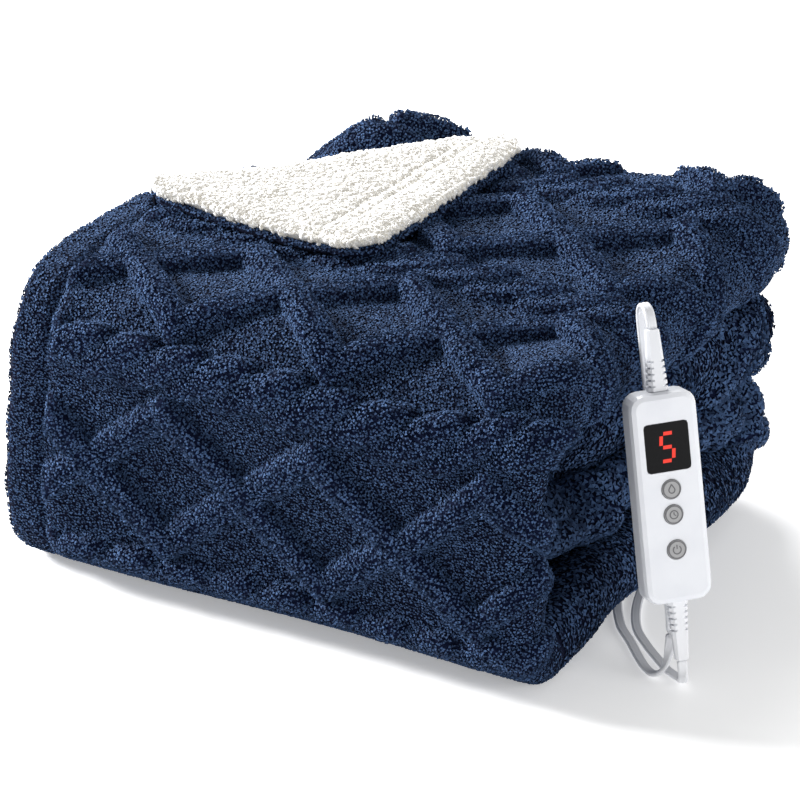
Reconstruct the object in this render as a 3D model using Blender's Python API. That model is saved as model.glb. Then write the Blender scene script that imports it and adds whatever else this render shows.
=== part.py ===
"""Folded electric throw with its handset and leads, in metres, +Z up.

The long front edge runs along X and the viewer's side is -Y.
The origin is on the surface it lies on, under the middle of the bundle.
"""
import math

import bmesh
import bpy
from mathutils import Matrix, Vector

# ---- driving sizes ----
BUNDLE_DEPTH = 0.310
BUNDLE_HEIGHT = 0.1905
HALF_WIDTH = 0.190
PLIES = 4                     # plies in each pack
PLY_GAP = 0.0020              # air between two plies, and between two packs
FRONT_RADIUS = 0.050          # outer radius of the top front edge
FLOOR_RADIUS = 0.036          # outer radius of the bottom front edge
BACK_RADIUS = 0.04375         # outer radius of the back fold
FRONT_Y = -BUNDLE_DEPTH / 2
FREE_END_Y = BUNDLE_DEPTH / 2 + 0.004         # the top pack reaches a little past the back fold
TOP_RUN = FREE_END_Y - FRONT_Y - FRONT_RADIUS
TOP_ROLL = 0.052              # last stretch of the top, where its pack thins towards the front edge
SPINE_RUN = BUNDLE_HEIGHT - FRONT_RADIUS - FLOOR_RADIUS
SPINE_FOOT = 0.0395           # lower stretch of the spine, pressed thin by the inner folds
FLOOR_RUN = BUNDLE_DEPTH - FLOOR_RADIUS - BACK_RADIUS
FLOOR_EASE = 0.050            # stretch over which the pack thickens or thins on the floor
INNER_RUN = 0.1785            # second pack from the floor, from the back fold to the inner fold
TUCKED_RUN = 0.2135           # upper middle pack, from the inner fold to its free end

# The path of the outer face, from the free end at the top of the back.
# Each row is one stretch, with the values that it reaches at its end.
# kind, size (length or angle), radius, steps, fine rows a step, thickness, right end, left end
START = dict(thickness=0.056, right=0.183, left=-0.184)
PATH = (
    ("run", TOP_RUN - TOP_ROLL, 0.0, 5, 4, 0.056, 0.185, -0.184),
    ("run", TOP_ROLL, 0.0, 1, 5, 0.0485, 0.185, -0.184),
    ("turn", 90.0, FRONT_RADIUS, 3, 3, 0.046, 0.180, -0.184),
    ("run", SPINE_RUN - SPINE_FOOT, 0.0, 2, 3, 0.044, 0.175, -0.183),
    ("run", SPINE_FOOT, 0.0, 1, 4, 0.034, 0.177, -0.182),
    ("turn", 90.0, FLOOR_RADIUS, 3, 2, 0.033, 0.179, -0.179),
    ("run", FLOOR_EASE, 0.0, 1, 1, 0.046, 0.182, -0.178),
    ("run", FLOOR_RUN - 2 * FLOOR_EASE, 0.0, 3, 1, 0.046, 0.182, -0.179),
    ("run", FLOOR_EASE, 0.0, 1, 1, 0.0425, 0.182, -0.180),
    ("turn", 180.0, BACK_RADIUS, 7, 1, 0.040, 0.178, -0.180),
    ("run", INNER_RUN, 0.0, 4, 1, 0.040, 0.160, -0.178),
    ("turn", -180.0, PLY_GAP / 2, 7, 1, 0.044, 0.154, -0.178),
    ("run", TUCKED_RUN, 0.0, 5, 1, 0.044, 0.182, -0.180),
)
FLAT_COLUMNS = 6              # coarse steps across a ply, and round the outer fold at the right
ARC_COLUMNS = 4
FLAT_FINE = 30                # fine steps there, where the pattern shows
ARC_FINE = 8
WIDE_ARC = 5                  # steps round the inner folds
TIGHT_ARC = 3
LEFT_INSET = 0.003            # the inner fold at the left lies this far behind the top ply's hem
HEM_INSET = 0.004             # the innermost ply's hem lies this far in from that fold
HEM_ROUND = 0.0035            # how far a hem's round edge stands out past its flat faces

# Heights of the packs at the right end, where the folds puff up or are pressed.
LEVELS = (0.0, 0.047, 0.088, 0.134, 0.1905, 0.260)
END_LEVELS = (0.0, 0.056, 0.092, 0.140, 0.1945, 0.264)
END_ZONE = 0.075              # how far in from the right end the levels change
END_FULL = 0.020              # and where the change is complete

# Soft waves in the cloth: direction moved, size, waves along X, Y and Z in radians a metre, phase
WAVES = (
    ("z", 0.00175, 9.0, 11.0, 0.0, 0.7),
    ("z", 0.00175, 9.0, -11.0, 0.0, 1.5),
    ("z", 0.0022, 27.0, -15.0, 0.0, 0.0),
    ("x", 0.0028, 0.0, 21.0, 31.0, 0.0),
    ("y", 0.0030, 17.0, 0.0, 24.0, 0.5),
)
WAVE_RISE = 0.120             # height at which the cloth is free to wave up and down
WAVE_EDGE = dict(x=(0.05, 0.17), y=(0.04, 0.14))  # where the side waves start, and where they are full

# Places where the bundle is puffed up or sunk. Each has a middle, the turn in degrees of its long
# side, its reach along and across that side, its size, and the heights between which it takes effect.
MOUNDS = (
    dict(x=-0.084, y=0.128, turn=45.0, long=0.056, wide=0.022, height=0.034, low=0.100, high=0.180),
    dict(x=0.120, y=0.150, turn=0.0, long=0.100, wide=0.070, height=0.009, low=0.060, high=0.180),
    dict(x=0.190, y=-0.120, turn=0.0, long=0.060, wide=0.070, height=0.007, low=0.060, high=0.180),
    dict(x=-0.205, y=0.170, turn=0.0, long=0.098, wide=0.098, height=-0.062, low=0.045, high=0.190),
)
# Hollow between the front and the inner folds at the right end: where it starts, is full and ends
RECESS = dict(depth=0.034, x=(0.095, 0.185), y=(-0.152, -0.112, -0.060, -0.020),
              z=(0.070, 0.100, 0.148, 0.172))
# Raised passage over the leads
PASSAGE = dict(x=0.104, reach_x=0.036, y=-0.085, reach_y=0.035, height=0.0098, fades=0.060)

# Turned-back corner: its crest runs from the left edge to the back edge, and its tip points inward
CREST_START = (-0.172, -0.020)
CREST_END = (0.004, 0.154)
CORNER_TIP = (-0.006, -0.032)
CORNER_BLUNT = 0.026          # width of the rounded tip
NAVY_LAYER = 0.0048
SHERPA_LAYER = 0.0062
FLAP_LIFT = 0.0068            # underside of the flap over the ground of the cloth
CREST_ROOT = 0.007            # thickness of the bend that joins the flap to the cloth
CREST_SHOULDER = (0.55, 0.0012)   # share of that thickness, and drop, where the bend turns over
CREST_SUNK = -0.005           # height of the bend's root, inside the cloth under it
CREST_SEAT = 0.0015           # how far out from the crest the root reaches
WRAP_SHOULDER = (0.62, 0.0016)    # the same for the lining, where it wraps the bend
WRAP_SIDE = 0.42              # share of the lining's thickness where its shoulder turns down
WRAP_SKIRT = 0.0004           # height of the lining's lower edge over the flap's underside
CREST_ENDS = (0.030, 0.970)   # shares of the crest between which the flap is full
TIP_ROUND = 0.004             # how far the blunt tip's ends fall back
EDGE_BULGE = 0.92             # below 1, the flap's edges bulge a little
EDGE_SOFT = 0.010             # width over which the flap thins at its edges
EDGE_THIN = 0.35              # share of its thickness that it loses there
EDGE_UNDER = 0.0012           # how far the underside's edge lies behind the upper one
FLAP_COLUMNS = 14
FLAP_ROWS = 5

# Handset, in its own frame: X across, Y along, Z out of its face
HANDSET_WIDTH = 0.041
HANDSET_LENGTH = 0.125
HANDSET_THICKNESS = 0.019
HANDSET_CORNER = 0.0088
HANDSET_EDGE = 0.0036
HANDSET_FOOT = (0.2345, -0.0872, 0.0560)      # middle of its lower end
HANDSET_AXIS = (-0.0290, 0.0240, 0.1290)      # from the lower end to the upper end
HANDSET_FACING = 46.0                         # degrees from -Y towards +X
CLEAR = 0.0003
WINDOW_SIZE = (0.0266, 0.0286, 0.0012)
WINDOW_Y = 0.0306
WINDOW_CORNER = 0.0022
BUTTONS = (("button_heat", 0.0055), ("button_timer", -0.0095), ("button_power", -0.0305))
BUTTON_RADIUS = 0.0058
BUTTON_PROUD = 0.0010
BUTTON_HEIGHT = 0.0030
BUTTON_SOFT = 0.0006          # softened rim of a button
WELL_DEPTH = 0.0034

# Strain reliefs and leads
RELIEF_LENGTH = 0.036
RELIEF_BASE = (0.0120, 0.0096)
RELIEF_TIP = (0.0078, 0.0056)
RELIEF_SLOTS = 5
SLOT_START = 0.0022
SLOT_STEP = 0.0036
SLOT_WIDTH = 0.0014
SLOT_SLOPE = 0.0002
SLOT_DEPTH = 0.0016
RELIEF_SOFT = 0.45            # share of the sleeve's half thickness that its corners take
RELIEF_RIM = 0.0006           # how far its tip's rim is drawn in
CORD_DIAMETER = 0.0062
FLOOR_Z = CORD_DIAMETER / 2 + CLEAR

# The routes start in the handset's frame (X across, Y along, Z out) and go on in the world's.
BLANKET_LEAD_HANDSET = (
    (0.0, 0.1025, 0.0), (-0.0003, 0.1090, -0.0022), (-0.0006, 0.1120, -0.0078),
    (-0.0008, 0.1090, -0.0134), (-0.0008, 0.1010, -0.0155), (-0.0006, 0.0810, -0.0155),
    (-0.0004, 0.0400, -0.0155), (-0.0002, -0.0050, -0.0155), (0.0, -0.0500, -0.0152),
    (0.0, -0.0760, -0.0140),
)
BLANKET_LEAD_FLOOR = (
    (0.2299, -0.0838, 0.0270), (0.2299, -0.0865, 0.0160), (0.2274, -0.0888, 0.0080),
    (0.2215, -0.0878, 0.0042), (0.2135, -0.0822, FLOOR_Z), (0.2057, -0.0746, FLOOR_Z),
    (0.1925, -0.0600, FLOOR_Z), (0.1760, -0.0420, FLOOR_Z), (0.1590, -0.0100, FLOOR_Z),
    (0.1505, 0.0350, FLOOR_Z), (0.1500, 0.0900, FLOOR_Z),
    (0.1480, 0.1320, FLOOR_Z), (0.1400, 0.1520, FLOOR_Z), (0.1200, 0.1610, FLOOR_Z),
    (0.0960, 0.1580, FLOOR_Z), (0.0780, 0.1500, FLOOR_Z), (0.0640, 0.1425, FLOOR_Z),
)
MAINS_LEAD_HANDSET = ((0.0, -0.1022, 0.0),)
MAINS_LEAD_FLOOR = (
    (0.2440, -0.0945, 0.0120), (0.2425, -0.0918, 0.0070), (0.2380, -0.0852, 0.0040),
    (0.2265, -0.0788, FLOOR_Z), (0.2176, -0.0717, FLOOR_Z), (0.2030, -0.0590, FLOOR_Z),
    (0.1880, -0.0430, FLOOR_Z), (0.1755, -0.0185, FLOOR_Z), (0.1655, 0.0150, FLOOR_Z),
    (0.1600, 0.0500, FLOOR_Z),
    (0.1590, 0.0900, FLOOR_Z), (0.1585, 0.1280, FLOOR_Z), (0.1580, 0.1480, FLOOR_Z),
    (0.1520, 0.1645, FLOOR_Z), (0.1400, 0.1760, FLOOR_Z), (0.1240, 0.1832, FLOOR_Z),
    (0.1095, 0.1900, FLOOR_Z), (0.1012, 0.2015, FLOOR_Z), (0.0987, 0.2160, FLOOR_Z),
)
COIL_CENTRE = (0.0560, 0.2180)
COIL_INNER = 0.0268
COIL_OUTER = 0.0398
COIL_HEIGHT = 0.0128
PLUG_LEAD = (
    (0.0560, 0.2614, 0.0060), (0.0470, 0.2613, 0.0068), (0.0370, 0.2607, 0.0082), (0.0287, 0.2600, 0.0090),
)
CORD_STEP = 0.0165            # longest step between two points of a cord
CORD_TURN = 32.0              # most turn in degrees between two points of a cord
ROUTE_FINE = 12               # steps between two points of a route, from which the cord's are chosen
COIL_SOFT = 0.28              # share of the coil's height that its round shoulders take
PLUG_CORNER = 0.006
PLUG_EDGE = 0.0025
BLADE_CORNER = 0.0004
TIE_ANGLE = 205.0
TIE_WIDTH = 0.008
TIE_WALL = 0.0012
PLUG_PLACE = (0.0100, 0.2600)
PLUG_SIZE = (0.024, 0.036, 0.018)
BLADE_SIZE = (0.0015, 0.0165, 0.0063)
BLADE_SPACING = 0.0127

# Raised pattern on the outer face
DIAMOND_WIDTH = 0.108
DIAMOND_HEIGHT = 0.088
ROW_PITCH = 0.140
LATTICE_START = 0.114         # first lattice line, along the path from the free end
LATTICE_SHIFT = 0.003         # where the diamonds start, from the left hem
RIDGE_HEIGHT = 0.0048
RIDGE_HALF_WIDTH = 0.0110
UNDER_BAND = 0.86             # height of the band that runs under the other one where two cross
LOBE_PITCH = 0.035
LOBE_LENGTH = 0.064
LOBE_WIDTH = 0.023
LOBE_SLANT = 0.40             # slope of each lobe across its row
LOBE_TAIL = 0.50              # height of a lobe's tail, under the head of the next lobe
FLAT_CREST = 0.35             # share of a ridge's half width that is flat-topped
RIDGE_SLOPE = 1.05            # share over which it falls to the ground
PATTERN_EDGE = (2, 3)         # fine steps over which the pattern fades at the hem and past the fold
PATTERN_FLOOR = (0.006, 0.036)    # heights over the floor between which the pattern fades in


def smooth(value):
    value = min(1.0, max(0.0, value))
    return value * value * (3.0 - 2.0 * value)


def path_rows():
    """Rows along the outer face: place, inward direction, size of the pack."""
    y, z = FREE_END_Y, BUNDLE_HEIGHT
    heading = math.pi
    travel = 0.0
    now = (START["thickness"], START["right"], START["left"])
    rows = [dict(y=y, z=z, heading=heading, travel=0.0, size=now, coarse=True, fine=True)]
    for kind, size, radius, steps, fine, thickness, right, left in PATH:
        goal = (thickness, right, left)
        count = steps * fine
        patterned = fine > 1
        rows[-1]["fine_after"] = patterned
        length = size if kind == "run" else math.radians(abs(size)) * radius
        turn = math.radians(size) if kind == "turn" else 0.0
        side = 1.0 if turn > 0 else -1.0
        for step in range(1, count + 1):
            share = step / count
            if kind == "run":
                here = (y + math.cos(heading) * size * share, z + math.sin(heading) * size * share)
                facing = heading
            else:
                centre = (y - math.sin(heading) * radius * side, z + math.cos(heading) * radius * side)
                facing = heading + turn * share
                here = (centre[0] + math.sin(facing) * radius * side,
                        centre[1] - math.cos(facing) * radius * side)
            mix = smooth(share)
            sizes = tuple(a + (b - a) * mix for a, b in zip(now, goal))
            rows.append(dict(y=here[0], z=here[1], heading=facing, travel=travel + length * share,
                             size=sizes, coarse=step % fine == 0, fine=patterned, fine_after=patterned))
        y, z, heading = rows[-1]["y"], rows[-1]["z"], rows[-1]["heading"]
        travel += length
        now = goal
    rows[-1]["fine_after"] = False
    return rows


def stations(size):
    """Section of the folded plies across X, as (x, height over the middle plane, place) points.

    The place counts the plies and folds along the cloth, on both of its faces. The outline runs
    from the left hem along the outer face to the innermost hem, and back along the inner face.
    It also gives the number of points on the outer ply and its fold, where the pattern shows.
    """
    thickness, right, left = size
    pitch = thickness / PLIES
    half = pitch / 2 - PLY_GAP / 2
    outer = 1.5 * pitch
    inner = 0.5 * pitch
    right_centre = right - outer - half
    left_centre = left + LEFT_INSET + pitch + half
    hem = left_centre + HEM_INSET
    points = []

    fine = [left + (right_centre - left) * i / FLAT_FINE for i in range(FLAT_FINE + 1)]
    columns = fine[FLAT_FINE // FLAT_COLUMNS::FLAT_FINE // FLAT_COLUMNS]
    from_hem = [hem] + columns
    from_bend = [left_centre] + columns

    def run(across, w, start, end):
        for i, x in enumerate(across):
            points.append((x, w, start + (end - start) * i / (len(across) - 1)))

    def arc(x, w, radius, first, last, count, start, end):
        for i in range(1, count):
            share = i / count
            angle = math.radians(first + (last - first) * share)
            spot = (x + radius * math.cos(angle), w + radius * math.sin(angle))
            points.append((*spot, start + (end - start) * share))

    run(fine, outer + half, 0, 1)
    arc(right_centre, 0.0, outer + half, 90, -90, ARC_FINE, 1, 2)
    fine_end = len(points)
    run(from_bend[::-1], -outer - half, 2, 3)
    arc(left_centre, -inner, pitch + half, 270, 90, WIDE_ARC, 3, 4)
    run(from_bend, inner + half, 4, 5)
    arc(right_centre, 0.0, inner + half, 90, -90, TIGHT_ARC, 5, 6)
    run(from_hem[::-1], -inner - half, 6, 7)
    points.append((hem - HEM_ROUND, -inner, 8))
    run(from_hem, -inner + half, 7, 6)
    run(from_bend[::-1], inner - half, 5, 4)
    arc(left_centre, -inner, pitch - half, 90, 270, TIGHT_ARC, 4, 3)
    run(from_bend, -outer + half, 3, 2)
    arc(right_centre, 0.0, outer - half, -90, 90, WIDE_ARC, 2, 1)
    run([right_centre] + columns[-2::-1] + [left], outer - half, 1, 0)
    points.append((left - HEM_ROUND, outer, -1))
    return points, fine_end


def close_end(bm, line, section):
    """Closes the cut end of the folded plies, with a ladder of triangles from one face to the other."""
    places = {index: section[index][2] for index in line}
    order = sorted(line)
    tip = max(order, key=places.get)
    outside = [order[-1]] + order[:order.index(tip) + 1]
    inside = order[order.index(tip) + 1:-1][::-1]
    i = j = 0
    while i < len(outside) - 1 or j < len(inside) - 1:
        here = (line[outside[i]], line[inside[j]])
        if j == len(inside) - 1 or i < len(outside) - 1 and places[outside[i + 1]] < places[inside[j + 1]]:
            i += 1
            bm.faces.new((*here, line[outside[i]]))
        else:
            j += 1
            bm.faces.new((*here, line[inside[j]]))


def is_coarse(index, fine_end):
    if index <= FLAT_FINE:
        return index % (FLAT_FINE // FLAT_COLUMNS) == 0
    if index < fine_end:
        return (index - FLAT_FINE) % (ARC_FINE // ARC_COLUMNS) == 0
    return True


def ridge(distance, half_width):
    """Round-shouldered ridge: one at its middle, half at its half width or so."""
    return 1.0 - smooth((abs(distance) / half_width - FLAT_CREST) / RIDGE_SLOPE)


def pattern_height(along, travel):
    """Height of the raised lattice and cables at a place on the cloth's outer face."""
    row = round((travel - LATTICE_START) / ROW_PITCH)
    across = travel - LATTICE_START - row * ROW_PITCH
    period = 2 * DIAMOND_WIDTH
    phase = ((along - LATTICE_SHIFT) / period) % 1.0
    wave = 1.0 - 4.0 * abs(phase - 0.5)
    zigzag = wave * DIAMOND_HEIGHT / 2 * (1.0 if phase < 0.5 else -1.0)
    slope = DIAMOND_HEIGHT / DIAMOND_WIDTH
    wide = RIDGE_HALF_WIDTH * math.hypot(1.0, slope)
    height = max(ridge(across - zigzag, wide), UNDER_BAND * ridge(across + zigzag, wide))
    place = (travel - LATTICE_START) / ROW_PITCH
    offset = (place - math.floor(place) - 0.5) * ROW_PITCH
    lobe = math.floor(along / LOBE_PITCH)
    for number in (lobe - 1, lobe, lobe + 1, lobe + 2):
        dx = along - number * LOBE_PITCH
        dq = offset + LOBE_SLANT * dx
        reach = math.hypot(dx / (LOBE_LENGTH / 2), dq / (LOBE_WIDTH / 2))
        head = smooth(0.5 + dx / LOBE_LENGTH)
        height = max(height, ridge(reach, 1.0) * (LOBE_TAIL + (1.0 - LOBE_TAIL) * head))
    return RIDGE_HEIGHT * height


def wave(name, x, y, z):
    """Sum of the waves that move the cloth in one direction."""
    total = 0.0
    for direction, size, along_x, along_y, along_z, phase in WAVES:
        if direction == name:
            total += size * math.sin(along_x * x + along_y * y + along_z * z + phase)
    return total


def ramp(value, low, high):
    """Zero up to the low value, one from the high value on, smooth between them."""
    return smooth((value - low) / (high - low))


def plateau(value, first, full, last, end):
    """One between the two middle values, falling to zero at the outer ones."""
    return ramp(value, first, full) * (1.0 - ramp(value, last, end))


def settle(point):
    """Natural unevenness: puffed ends, a soft front and a slightly wavy top, flat on the floor."""
    x, y, z = point
    end = ramp(x, HALF_WIDTH - END_ZONE, HALF_WIDTH - END_FULL)
    lifted = z
    for low, high, end_low, end_high in zip(LEVELS, LEVELS[1:], END_LEVELS, END_LEVELS[1:]):
        if low <= z <= high:
            lifted = end_low + (z - low) * (end_high - end_low) / (high - low)
    z += (lifted - z) * end
    z += ramp(z, 0.0, WAVE_RISE) * wave("z", x, y, z)
    for mound in MOUNDS:
        turn = math.radians(mound["turn"])
        dx, dy = x - mound["x"], y - mound["y"]
        along, across = dx * math.cos(turn) + dy * math.sin(turn), dy * math.cos(turn) - dx * math.sin(turn)
        spread = (along / mound["long"]) ** 2 + (across / mound["wide"]) ** 2
        z += mound["height"] * math.exp(-spread) * ramp(z, mound["low"], mound["high"])
    hollow = ramp(x, *RECESS["x"]) * plateau(y, *RECESS["y"]) * plateau(z, *RECESS["z"])
    x -= RECESS["depth"] * hollow
    x += wave("x", x, y, z) * ramp(abs(x), *WAVE_EDGE["x"])
    y += wave("y", x, y, z) * ramp(abs(y), *WAVE_EDGE["y"])
    over = ramp(x, PASSAGE["x"], PASSAGE["x"] + PASSAGE["reach_x"])
    over *= ramp(y, PASSAGE["y"], PASSAGE["y"] + PASSAGE["reach_y"])
    z += PASSAGE["height"] * over * max(0.0, 1.0 - z / PASSAGE["fades"])
    return Vector((x, y, z))


def material(name, colour, roughness, metallic=0.0):
    item = bpy.data.materials.new(name)
    item.use_nodes = True
    shader = item.node_tree.nodes["Principled BSDF"]
    shader.inputs["Base Color"].default_value = (*colour, 1.0)
    shader.inputs["Roughness"].default_value = roughness
    shader.inputs["Metallic"].default_value = metallic
    return item


def add_object(name, bm, finish, matrix=Matrix()):
    mesh = bpy.data.meshes.new(name)
    bmesh.ops.recalc_face_normals(bm, faces=bm.faces)
    bm.to_mesh(mesh)
    bm.free()
    mesh.shade_smooth()
    mesh.set_sharp_from_angle(angle=math.radians(35))
    thing = bpy.data.objects.new(name, mesh)
    thing.data.materials.append(finish)
    thing.matrix_world = matrix
    bpy.context.scene.collection.objects.link(thing)
    return thing


def blanket_mesh():
    rows = path_rows()
    bm = bmesh.new()
    grid = []
    heights = {}
    for row in rows:
        points, fine_end = stations(row["size"])
        thickness = row["size"][0]
        inward = (-math.sin(row["heading"]), math.cos(row["heading"]))
        in_fine = row["fine"] or row["fine_after"]
        line = {}
        along = 0.0
        for index, (x, w, place) in enumerate(points):
            if index:
                along += math.dist(points[index - 1][:2], (x, w))
            coarse = is_coarse(index, fine_end)
            if not row["coarse"] and index > fine_end:
                continue
            if not in_fine and not coarse:
                continue
            depth = thickness / 2 - w - PLY_GAP / 2
            raised = 0.0
            if in_fine and 0 < index < fine_end:
                raised = pattern_height(along, row["travel"])
                raised *= smooth(index / PATTERN_EDGE[0]) * smooth((fine_end - index) / PATTERN_EDGE[1])
                raised *= ramp(row["z"], *PATTERN_FLOOR)
                angle = math.pi / 2 - math.pi * max(0, index - FLAT_FINE) / ARC_FINE
                x += raised * math.cos(angle)
                depth -= raised * math.sin(angle)
            spot = (x, row["y"] + inward[0] * depth, row["z"] + inward[1] * depth)
            line[index] = bm.verts.new(settle(spot))
            heights[line[index]] = raised
        grid.append(line)
    count = len(points)
    coarse_rows = [i for i, row in enumerate(rows) if row["coarse"]]
    coarse_stations = [i for i in range(count) if is_coarse(i, fine_end)]
    for r0, r1 in zip(coarse_rows, coarse_rows[1:]):
        fine = r1 - r0 > 1
        for n, s0 in enumerate(coarse_stations):
            s1 = coarse_stations[(n + 1) % len(coarse_stations)]
            last = s1 if s1 else count
            if fine and last <= fine_end:
                for r in range(r0, r1):
                    for s in range(s0, last):
                        a, b, c, d = grid[r][s], grid[r][s + 1], grid[r + 1][s + 1], grid[r + 1][s]
                        along_ridge = abs(heights[a] - heights[c]) < abs(heights[b] - heights[d])
                        bm.faces.new((a, b, c, d) if along_ridge else (b, c, d, a))
                continue
            between = range(s0 + 1, last)
            near, far = grid[r0], grid[r1]
            loop = [near[s0]] + [near[s] for s in between if s in near] + [near[s1]]
            loop += [grid[r][s1] for r in range(r0 + 1, r1) if s1 in grid[r]]
            loop += [far[s1]] + [far[s] for s in reversed(between) if s in far] + [far[s0]]
            loop += [grid[r][s0] for r in range(r1 - 1, r0, -1) if s0 in grid[r]]
            if len(loop) == 4 and loop[0].co.x > loop[1].co.x:
                loop = loop[1:] + loop[:1]      # every ply is split along the same diagonals
            bm.faces.new(loop)
    for row, line in ((rows[0], grid[0]), (rows[-1], grid[-1])):
        close_end(bm, line, stations(row["size"])[0])
    bmesh.ops.triangulate(bm, faces=bm.faces, quad_method="FIXED")
    return bm


def flap_point(share, out, height):
    """A place on the turned corner: share along its crest, distance out from it, height over the ground."""
    start, end = Vector(CREST_START), Vector(CREST_END)
    line = (end - start).normalized()
    outward = Vector((line.y, -line.x))
    spot = start + (end - start) * share + outward * out
    ground = settle((spot.x, spot.y, BUNDLE_HEIGHT))
    return Vector((spot.x, spot.y, ground.z + height))


def flap_reach(share):
    """How far the turned corner reaches from its crest, at a share of the crest's length."""
    start, end, tip = Vector(CREST_START), Vector(CREST_END), Vector(CORNER_TIP)
    line = (end - start).normalized()
    length = (end - start).length
    foot = (tip - start).dot(line)
    outward = Vector((line.y, -line.x))
    depth = (tip - start).dot(outward)
    along = share * length
    blunt = CORNER_BLUNT / 2
    if abs(along - foot) < blunt:
        return depth - TIP_ROUND * ((along - foot) / blunt) ** 2
    edge = depth - TIP_ROUND
    if along < foot:
        return edge * (along / (foot - blunt)) ** EDGE_BULGE
    return edge * ((length - along) / (length - foot - blunt)) ** EDGE_BULGE


def flap_slab(bottom, top, back, hub):
    """Closed slab over the turned corner, between two heights over the cloth.

    Its back follows the given outline of (distance out, height) points, from top to bottom.
    The hub is the point of that outline from which all the others are in plain sight.
    """
    bm = bmesh.new()
    columns = []
    for column in range(FLAP_COLUMNS + 1):
        share = CREST_ENDS[0] + (CREST_ENDS[1] - CREST_ENDS[0]) * column / FLAP_COLUMNS
        reach = flap_reach(share)
        upper, lower = [], []
        for row in range(FLAP_ROWS + 1):
            out = reach * row / FLAP_ROWS
            thin = EDGE_THIN * (top - bottom) * (1.0 - smooth((reach - out) / EDGE_SOFT))
            upper.append(flap_point(share, out, top - thin))
            lower.append(flap_point(share, out * (1.0 - EDGE_UNDER / reach), bottom))
        rest = [flap_point(share, out, height) for out, height in back]
        columns.append([bm.verts.new(place) for place in upper[::-1] + rest + lower])
    for near, far in zip(columns, columns[1:]):
        for i in range(len(near)):
            j = (i + 1) % len(near)
            corners = (near[i], far[i], far[j], near[j])
            underside = i >= len(near) - FLAP_ROWS - 1      # split along the same diagonals as the top
            bm.faces.new(corners[1:] + corners[:1] if underside else corners)
    for end in (columns[0], columns[-1]):
        upper, lower = end[:FLAP_ROWS + 1], end[:-FLAP_ROWS - 2:-1]
        for row in range(FLAP_ROWS):
            bm.faces.new((upper[row], upper[row + 1], lower[row + 1], lower[row]))
        outline = end[FLAP_ROWS:-FLAP_ROWS]
        outline = outline[hub:] + outline[:hub]
        for second, third in zip(outline[1:], outline[2:]):
            bm.faces.new((outline[0], second, third))
    bmesh.ops.triangulate(bm, faces=bm.faces, quad_method="FIXED")
    return bm


def handset_matrix():
    axis = Vector(HANDSET_AXIS).normalized()
    facing = math.radians(HANDSET_FACING)
    out = Vector((math.sin(facing), -math.cos(facing), 0.0))
    out = (out - axis * out.dot(axis)).normalized()
    across = axis.cross(out)
    middle = Vector(HANDSET_FOOT) + axis * HANDSET_LENGTH / 2
    turn = Matrix((across, axis, out)).transposed().to_4x4()
    return Matrix.Translation(middle) @ turn


def rounded_block(width, length, depth, corner, edge, corner_steps, edge_steps):
    """Block with rounded upright corners and softened rims, centred on its origin."""
    bm = bmesh.new()
    bmesh.ops.create_cube(bm, size=1.0, matrix=Matrix.Diagonal((width, length, depth, 1.0)))
    upright = [e for e in bm.edges if abs((e.verts[0].co - e.verts[1].co).z) > depth * 0.9]
    bmesh.ops.bevel(bm, geom=upright, offset=corner, segments=corner_steps, profile=0.5,
                    affect="EDGES", material=-1)
    if edge:
        rims = [e for e in bm.edges if abs(e.verts[0].co.z - e.verts[1].co.z) < 1e-6]
        bmesh.ops.bevel(bm, geom=rims, offset=edge, segments=edge_steps, profile=0.5,
                        affect="EDGES", material=-1)
    return bm


def disc(radius, depth, soft, sides=28):
    """Short round block on the XY plane, with its top rim softened."""
    bm = bmesh.new()
    bmesh.ops.create_cone(bm, cap_ends=True, segments=sides, radius1=radius, radius2=radius, depth=depth)
    if soft:
        rim = [e for e in bm.edges if all(v.co.z > 0 for v in e.verts)]
        bmesh.ops.bevel(bm, geom=rim, offset=soft, segments=1, profile=0.5, affect="EDGES", material=-1)
    return bm


def cut(target, name, bm, matrix):
    """Hidden cutter that a Boolean on the target takes away."""
    cutter = add_object(name, bm, target.data.materials[0], matrix)
    cutter.hide_render = True
    cutter.display_type = "WIRE"
    step = target.modifiers.new(name, "BOOLEAN")
    step.operation = "DIFFERENCE"
    step.solver = "EXACT"
    step.object = cutter


def relief_mesh():
    """Tapered sleeve along +Y from its base, with slots in both sides near the base."""
    stations_along = [(0.0, 0.0)]
    for slot in range(RELIEF_SLOTS):
        start = SLOT_START + slot * SLOT_STEP
        end = start + SLOT_WIDTH
        stations_along += [(start, 0.0), (start + SLOT_SLOPE, SLOT_DEPTH),
                           (end - SLOT_SLOPE, SLOT_DEPTH), (end, 0.0)]
    stations_along += [(RELIEF_LENGTH - RELIEF_RIM, 0.0), (RELIEF_LENGTH, RELIEF_RIM)]
    bm = bmesh.new()
    rings = []
    for along, slot in stations_along:
        share = along / RELIEF_LENGTH
        half_x = (RELIEF_BASE[0] + (RELIEF_TIP[0] - RELIEF_BASE[0]) * share) / 2 - slot
        half_z = (RELIEF_BASE[1] + (RELIEF_TIP[1] - RELIEF_BASE[1]) * share) / 2
        soft = min(half_x, half_z) * RELIEF_SOFT
        quarter = ((half_x, half_z - soft), (half_x - soft, half_z))
        half_turn = quarter + tuple((-x, z) for x, z in reversed(quarter))
        outline = half_turn + tuple((-x, -z) for x, z in half_turn)
        rings.append([bm.verts.new((x, along, z)) for x, z in outline])
    for near, far in zip(rings, rings[1:]):
        for i in range(8):
            bm.faces.new((near[i], near[(i + 1) % 8], far[(i + 1) % 8], far[i]))
    bm.faces.new(rings[0])
    bm.faces.new(rings[-1])
    return bm


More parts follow.
